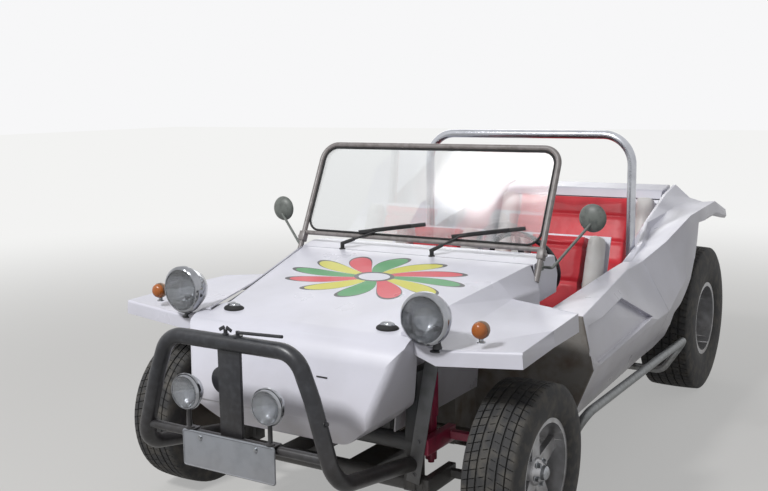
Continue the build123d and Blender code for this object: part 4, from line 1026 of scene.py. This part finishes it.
def tyre_section(radius, width, bead_half, grooves):
    """Closed outline of a tyre as distances from its middle and radii, in millimetres."""
    half, wall = width / 2, radius - BEAD_RADIUS
    side = [(bead_half, BEAD_RADIUS),
            (bead_half + (half - bead_half) * 0.6, BEAD_RADIUS + 0.08 * wall),
            *((half * across, BEAD_RADIUS + share * wall) for across, share in WALL),
            (half * 0.885, radius - GROOVE_DEPTH)]
    crown = []
    for place, across in sorted(grooves, reverse=True):
        walls = [(place + across / 2, 0), (place + across / 2 - 1.5, GROOVE_DEPTH),
                 (place - across / 2 + 1.5, GROOVE_DEPTH), (place - across / 2, 0)]
        for x, drop in walls if place else walls[:2]:
            crown.append((x, radius - drop - CROWN_DROP * (x / half) ** 2))
    line = [*side, (half * 0.86, radius - 4.2), *crown]
    return line + [(-x, r) for x, r in line[::-1]]


print("front tyre's section has", len(tyre_section(*FRONT_TYRE)), "points")

# %% Tyre from its section
SLOT_DEPTH, SLOT_SHARE, TREAD_TURN = 6, 0.11, 0.10
# How far below the tyre's radius a slot's middle and its corners may lie, and how far down the turn goes.
MIDDLE_DEPTH, CORNER_DEPTH, TURN_DEPTH = 6.5, 7.6, 16


def tyre_into(bm, center, section, pitches):
    """One tyre: its section swept round the axle in that many pitches, each a block and a slot."""
    radius, width = section[:2]
    line = tyre_section(*section)
    verts = [bm.verts.new(center + Vector((x / 1000, 0, r / 1000))) for x, r in line]
    geom = verts + [bm.edges.new(pair) for pair in zip(verts, verts[1:] + verts[:1])]
    slots = []
    for _ in range(pitches):
        for share, sunk in ((1 - SLOT_SHARE, False), (SLOT_SHARE, True)):
            before = set(bm.faces)
            made = bmesh.ops.spin(bm, geom=geom, cent=center, axis=(1, 0, 0), steps=1,
                                  angle=2 * math.pi / pitches * share)
            geom = made["geom_last"]
            if sunk:
                slots += [f for f in bm.faces if f not in before]
    closed_up(bm, 0.0001)
    slots = [f for f in slots if f.is_valid
             and (f.calc_center_median() - center).yz.length * 1000 > radius - MIDDLE_DEPTH
             and all((v.co - center).yz.length * 1000 > radius - CORNER_DEPTH for v in f.verts)]
    bmesh.ops.inset_individual(bm, faces=slots, thickness=0.0003, depth=-SLOT_DEPTH / 1000)
    for vert in bm.verts:
        offset = vert.co - center
        if offset.yz.length * 1000 > radius - TURN_DEPTH:
            outward = abs(offset.x) * 1000 / (width / 2)
            turn = Matrix.Rotation(outward * TREAD_TURN * FRONT_TYRE[0] / radius, 3, "X")
            vert.co = center + turn @ offset
    return bm


print("slots are", SLOT_DEPTH, "mm deep and take", SLOT_SHARE, "of each pitch")

# %% [markdown]
# ## Wheels
#
# Front and rear wheels differ in width, radius and how deep their disc lies, so a short table holds them.
# The cast rim is a softened copy of its CAD node, and five nuts and a turned cap close its middle.

# %% The four wheels
NUTS, FIRST_NUT, NUT_CIRCLE = 5, 54, 0.040
WHEELS = {
    # corner: centre x, station, disc place, tyre and its pitches
    "front_left": (760, 0, 20, FRONT_TYRE, 66),
    "front_right": (-760, 0, 20, FRONT_TYRE, 66),
    "rear_left": (652, 2400, 0, REAR_TYRE, 72),
    "rear_right": (-652, 2400, 0, REAR_TYRE, 72),
}
for corner, (x, station, disc_at, section, pitches) in WHEELS.items():
    center = at(x, station, section[0])
    body = "wheel_" + corner
    tread = tyre_into(bmesh.new(), center, section, pitches)
    place_piece("tyre_" + corner + "_tread", tread, tyre_rubber, body, ("tyre_" + corner,), 50)
    wheel = soften(cad_copy("rim_" + corner), (3, 1.5), 30)
    place_piece("rim_" + corner + "_cast", wheel, wheel_alloy, body, ("rim_" + corner,), 30, True)
    out = 1 if x > 0 else -1
    fittings = bmesh.new()
    face = center + Vector((out * (disc_at + 34) / 1000, 0, 0))
    for turn in range(NUTS):
        angle = math.radians(FIRST_NUT + 360 / NUTS * turn)
        around = Vector((0, math.cos(angle), math.sin(angle))) * NUT_CIRCLE
        hex_head_into(fittings, face + around + Vector((out * 0.006, 0, 0)), (out, 0, 0), 17, 12)
    lathe(fittings, face + Vector((out * 0.018, 0, 0)), (out, 0, 0), [
        (0, 0), (0, 27), (12, 25), (18, 18), (20, 0)], 32)
    place_piece("wheel_nuts_" + corner, closed_up(fittings), zinc_bolt, body, ())

# %% [markdown]
# ## Steering wheel
#
# A thin padded grip on three pressed spokes. The grip is a circle spun about the column's axis, and its
# plane lies a little above the column's end, square to the column.

# %% Steering wheel
COLUMN_TOP, COLUMN_FOOT = at(330, 905, 862), at(250, 120, 470)
GRIP_CIRCLE, GRIP_RADIUS, GRIP_LIFT, SPOKES = 0.165, 0.012, 0.046, 3
column = (COLUMN_TOP - COLUMN_FOOT).normalized()
grip = bmesh.new()
turn = column.to_track_quat("Z", "Y").to_matrix()
ring_plane = COLUMN_TOP + column * GRIP_LIFT
spin_start = ring_plane + turn @ Vector((GRIP_CIRCLE, 0, 0))
circle = bmesh.ops.create_circle(grip, segments=16, radius=GRIP_RADIUS)["verts"]
bmesh.ops.rotate(grip, cent=(0, 0, 0), matrix=turn @ Matrix.Rotation(math.pi / 2, 3, "X"), verts=circle)
bmesh.ops.translate(grip, vec=spin_start, verts=circle)
circle_edges = list(dict.fromkeys(e for v in circle for e in v.link_edges))
bmesh.ops.spin(grip, geom=circle + circle_edges, cent=ring_plane, axis=column, angle=2 * math.pi, steps=64,
               use_merge=True)
lathe(grip, COLUMN_TOP, column, [(3, 0), (3, 24), (44, 24), (50, 34), (53, 30), (56, 16), (57, 0)], 32)
place_piece("steering_grip", closed_up(grip), abs_black, "steering_wheel", ("steering_wheel",))
spokes = bmesh.new()
for arm in range(SPOKES):
    spin_arm = turn @ Matrix.Rotation(math.radians(90 + 360 / SPOKES * arm), 3, "Z")
    block_into(spokes, ring_plane + spin_arm @ Vector((0.088, 0, 0)), (140, 30, 4), 1.2, spin_arm)
place_piece("steering_spokes", spokes, zinc_bolt, "steering_wheel", ())

# %% [markdown]
# ## Padded seats
#
# The seats are foam under vinyl: a red middle between two white rolls. Each pad starts from its CAD solid,
# so a helper first takes a node's mesh apart into its separate solids.

# %% Solids of a node


def solids_of(node):
    """The separate solids of a CAD node as bmeshes."""
    whole = cad_copy(node, 0.1)
    left = set(whole.verts)
    groups = []
    while left:
        stack, group = [left.pop()], set()
        while stack:
            vert = stack.pop()
            group.add(vert)
            for edge in vert.link_edges:
                other = edge.other_vert(vert)
                if other in left:
                    left.remove(other)
                    stack.append(other)
        groups.append(group)
    whole.verts.index_update()
    parts = []
    for group in groups:
        single = whole.copy()
        keep = {v.index for v in group}
        bmesh.ops.delete(single, geom=[v for v in single.verts if v.index not in keep], context="VERTS")
        parts.append(single)
    whole.free()
    return parts


def middle_of(bm):
    """Middle of a bmesh's box."""
    low = Vector([min(v.co[i] for v in bm.verts) for i in range(3)])
    high = Vector([max(v.co[i] for v in bm.verts) for i in range(3)])
    return (low + high) / 2


left_pad = max(solids_of("seat_pads"), key=lambda bm: middle_of(bm).x)
rolls = solids_of("seat_bolsters")
print("left pad's middle", middle_of(left_pad), "rolls", len(rolls))

# %% [markdown]
# ## Stuffing
#
# A pad could be sculpted, but a cloth simulation finds the fullness that foam gives. The solid is remeshed
# evenly, shrunk and rounded, and is then blown up as cloth with a little inner pressure, so that its faces
# crown and its corners stay pulled in. No vertex moves further than a cap. The sewn channels are pressed in
# afterwards, because a remesh would lose them.

# %% Blowing up as cloth
PRESSURE, CLOTH_STEPS = 4, 20


def blow_up(body, cap_mm):
    """Blows a closed mesh up as cloth, with no vertex further than the cap."""
    cloth = body.modifiers.new("stuffing", "CLOTH")
    cloth.settings.use_pressure = True
    cloth.settings.uniform_pressure_force = PRESSURE
    cloth.settings.effector_weights.gravity = 0
    cloth.settings.quality = 4
    cloth.settings.tension_stiffness = 12
    cloth.settings.bending_stiffness = 0.4
    start = [v.co.copy() for v in body.data.vertices]
    for step in range(1, CLOTH_STEPS + 1):
        bpy.context.scene.frame_set(step)
    posed = body.evaluated_get(bpy.context.evaluated_depsgraph_get())
    ends = [v.co.copy() for v in posed.to_mesh().vertices]
    posed.to_mesh_clear()
    body.modifiers.clear()
    bpy.context.scene.frame_set(1)
    for vert, first, last in zip(body.data.vertices, start, ends):
        move = last - first
        vert.co = first + (move if move.length < cap_mm / 1000 else move.normalized() * cap_mm / 1000)


print("cloth settles for", CLOTH_STEPS, "steps at pressure", PRESSURE)

# %% Stuffing a solid


def stuffed(solid, name, voxel_mm, shrink_mm, cap_mm, rounding):
    """Cushion mesh from a solid: remeshed, shrunk, rounded and blown up within the cap."""
    mesh = bpy.data.meshes.new(name)
    solid.to_mesh(mesh)
    body = bpy.data.objects.new(name, mesh)
    bpy.context.scene.collection.objects.link(body)
    remesh = body.modifiers.new("even", "REMESH")
    remesh.mode, remesh.voxel_size = "VOXEL", voxel_mm / 1000
    bpy.context.view_layer.update()
    even = bpy.data.meshes.new_from_object(body.evaluated_get(bpy.context.evaluated_depsgraph_get()))
    body.modifiers.clear()
    body.data = even
    bm = bmesh.new()
    bm.from_mesh(even)
    bm.normal_update()
    for vert in bm.verts:
        vert.co -= vert.normal * (shrink_mm / 1000)
    for _ in range(rounding):
        bmesh.ops.smooth_vert(bm, verts=bm.verts, factor=0.5, use_axis_x=True, use_axis_y=True,
                              use_axis_z=True)
    bm.to_mesh(even)
    bm.free()
    blow_up(body, cap_mm)
    done = bmesh.new()
    done.from_mesh(body.data)
    bpy.data.objects.remove(body)
    print(name, "stuffed, vertices", len(done.verts))
    return done


# %% Seams and the last smoothing


def press_seams(bm, seams, depth_mm, width_mm):
    """Presses sewn lines into the faces: each seam is a plane given by a point and its normal."""
    bm.normal_update()
    for vert in bm.verts:
        sink = 0
        for point, normal in seams:
            gap = abs((vert.co - point).dot(normal)) * 1000 / width_mm
            sink = max(sink, math.exp(-gap * gap))
        vert.co -= vert.normal * (sink * depth_mm / 1000)
    return bm


def finish_pad(bm, name, material, stands_for):
    """Pad with one subdivision."""
    piece = place_piece(name, bm, material, "chassis", stands_for, 180)
    levels = piece.modifiers.new("smooth", "SUBSURF")
    levels.levels = levels.render_levels = 1


print("a seam is deepest on its line and fades with a bell curve,", round(math.exp(-1), 2), "at its width")

# %% [markdown]
# ## Front seats
#
# A seat's channels run across its back and its cushion at even steps. The two seats are alike, so one is
# stuffed and copied across, and so is the white roll that is sewn on at each side.

# %% Front pads and rolls
HIP, FRONT_EDGE, TOP = at(0, 1240, 380), at(0, 860, 420), at(0, 1420, 960)
SEAT_SPACING = 0.664
back_run = (TOP - HIP).normalized()
seat_run = (HIP - FRONT_EDGE).normalized()
seat_seams = [(HIP + back_run * step, back_run) for step in (0.20, 0.37, 0.54)]
seat_seams += [(FRONT_EDGE + seat_run * step, seat_run) for step in (0.12, 0.25)]
pad = press_seams(stuffed(left_pad, "front_pad", 10, 9, 10, 6), seat_seams, 9, 9)
other = pad.copy()
bmesh.ops.translate(other, vec=(-SEAT_SPACING, 0, 0), verts=other.verts)
finish_pad(pad, "seat_pad_left", red_vinyl, ("seat_pads",))
finish_pad(other, "seat_pad_right", red_vinyl, ())


def copied_rolls(solids, name, piece_name, replaced, *stuffing):
    """Stuffs the leftmost roll once and places a copy at each solid's width."""
    pattern = max(solids, key=lambda bm: middle_of(bm).x)
    home = middle_of(pattern).x
    roll_pad = stuffed(pattern, name, *stuffing)
    for number, solid in enumerate(sorted(solids, key=lambda bm: middle_of(bm).x), 1):
        copy = roll_pad.copy()
        bmesh.ops.translate(copy, vec=(middle_of(solid).x - home, 0, 0), verts=copy.verts)
        finish_pad(copy, f"{piece_name}_{number}", white_vinyl, replaced if number == 1 else ())


BEHIND_SEATS = at(0, 1500, 0).y
front = [bm for bm in rolls if middle_of(bm).y < BEHIND_SEATS]
copied_rolls(front, "front_roll", "seat_roll", ("seat_bolsters",), 10, 4, 14, 36)

# %% [markdown]
# ## Rear bench
#
# The bench is one wide pad with a roll at each end, and its channels are 150 mm apart. The same functions
# stuff it, with slightly larger voxels, because it is the largest pad of all.

# %% Bench pad and rolls
BENCH_HIP, BENCH_EDGE, BENCH_TOP = at(0, 2330, 600), at(0, 1800, 561), at(0, 2500, 1030)
rear = [bm for bm in rolls if middle_of(bm).y >= BEHIND_SEATS]
copied_rolls(rear, "bench_roll", "bench_roll", (), 11, 5, 12, 24)
bench_back = (BENCH_TOP - BENCH_HIP).normalized()
bench_seat = (BENCH_HIP - BENCH_EDGE).normalized()
bench_seams = [(BENCH_HIP + bench_back * step, bench_back) for step in (0.18, 0.33)]
bench_seams += [(BENCH_EDGE + bench_seat * step, bench_seat) for step in (0.15, 0.30)]
bench = press_seams(stuffed(solids_of("rear_bench")[0], "bench", 12, 9, 11, 6), bench_seams, 9, 10)
finish_pad(bench, "rear_bench_pad", red_vinyl, ("rear_bench",))

# %% [markdown]
# ## Number plate and bolts
#
# The plate is bare pressed metal with a rolled edge and two plated bolts. The rolled edge is a thin bar bent
# round the plate's outline, half sunk in its face.

# %% Plate edge and bolts
PLATE_X, PLATE_LOW, PLATE_HIGH, PLATE_FACE = 197, 454 - 62, 454 + 62, -708
edge = bmesh.new()
bar_into(edge, [at(x, PLATE_FACE, z) for x, z in (
    (0, PLATE_LOW), (-PLATE_X, PLATE_LOW), (-PLATE_X, PLATE_HIGH), (PLATE_X, PLATE_HIGH),
    (PLATE_X, PLATE_LOW), (0.1, PLATE_LOW))], 2.2, 10, 4)
place_piece("plate_edge", closed_up(edge), plate_enamel, "chassis", ())
bolts = bmesh.new()
for side in (-1, 1):
    hex_head_into(bolts, at(side * 120, PLATE_FACE, 500), (0, -1, 0), 12, 5)
place_piece("plate_bolts", bolts, zinc_bolt, "chassis", ())

# %% [markdown]
# ## Floor and background
#
# A pale floor takes the shadow and fades to a white ground further off, so that the horizon is faint. The sky
# is white only to the camera and to mirrors and glass, so that it doesn't flood the paint.

# %% Floor
FLOOR_GREY, GROUND_WHITE = "#A9A7A4", "#F3F3F2"
FADE_FROM, FADE_TO, NEAR_SHARE = 2.2, 9.0, 0.42
floor_bm = bmesh.new()
bmesh.ops.create_grid(floor_bm, x_segments=1, y_segments=1, size=40)
floor_mesh = bpy.data.meshes.new("floor")
floor_bm.to_mesh(floor_mesh)
floor_bm.free()
floor = bpy.data.objects.new("floor", floor_mesh)
bpy.context.scene.collection.objects.link(floor)
floor_finish, floor_tree, floor_shader, floor_place = new_finish("pale_floor", 0.9)
floor_shader.inputs["Base Color"].default_value = linear(FLOOR_GREY)
floor_mesh.materials.append(floor_finish)


def seen_directly(tree):
    """1 for rays from the camera and for those that metal or glass passes on, else 0."""
    ray = add(tree, "LightPath")
    total = ray.outputs["Is Camera Ray"]
    for kind in ("Is Glossy Ray", "Is Transmission Ray"):
        total = add(tree, "Math", {0: total, 1: ray.outputs[kind]}, operation="ADD").outputs["Value"]
    return add(tree, "Math", {0: total, 1: 1.0}, operation="MINIMUM").outputs["Value"]


far = add(floor_tree, "VectorMath", {0: floor_place}, operation="LENGTH").outputs["Value"]
fade = add(floor_tree, "MapRange", {"Value": far, "From Min": FADE_FROM, "From Max": FADE_TO,
                                    "To Min": NEAR_SHARE, "To Max": 1.0},
           interpolation_type="SMOOTHSTEP").outputs["Result"]
glow = add(floor_tree, "Emission", {"Color": linear(GROUND_WHITE), "Strength": 1.0})
shown = add(floor_tree, "Math", {0: fade, 1: seen_directly(floor_tree)}, operation="MULTIPLY")
blend = add(floor_tree, "MixShader", {0: shown.outputs["Value"], 1: floor_shader.outputs["BSDF"],
                                      2: glow.outputs["Emission"]})
floor_tree.links.new(blend.outputs["Shader"], floor_tree.nodes["Material Output"].inputs["Surface"])
print("floor fades from", FADE_FROM, "to", FADE_TO, "m")

# %% Sky
SKY_WHITE, SKY_ON_PAINT = "#F7F7F8", 0.34
world = bpy.data.worlds.new("studio")
bpy.context.scene.world = world
world.use_nodes = True
sky = world.node_tree
strength = add(sky, "MapRange", {"Value": seen_directly(sky), "To Min": SKY_ON_PAINT, "To Max": 1.0})
sky.links.new(strength.outputs["Result"], sky.nodes["Background"].inputs["Strength"])
sky.nodes["Background"].inputs["Color"].default_value = linear(SKY_WHITE)
print("sky lights the paint with strength", SKY_ON_PAINT)

# %% [markdown]
# ## Lamps of the studio
#
# One soft lamp stands for the high sun in front. A small one in the windscreen's mirror direction gives the
# broad glare on the glass, and a wide weak one behind keeps the engine readable. Their powers are so low
# that the white skin clips almost nowhere.

# %% Studio lamps


def lamp(name, place, target, size, watts):
    """Square area light that faces a target."""
    light = bpy.data.lights.new(name, "AREA")
    light.size = size
    light.energy = watts
    holder = bpy.data.objects.new(name, light)
    holder.location = place
    holder.rotation_euler = (Vector(target) - Vector(place)).to_track_quat("-Z", "Y").to_euler()
    bpy.context.scene.collection.objects.link(holder)
    print(name, watts, "W")


lamp("high_sun", (-0.97, -5.7, 5.6), (0, -0.2, 0.6), 0.8, 300)
lamp("screen_glint", (-2.51, -4.24, 5.11), (0.2, -0.6, 1.2), 0.6, 30)
lamp("rear_fill", (-3.5, 6.0, 4.0), (0, 0.5, 0.5), 4.0, 70)
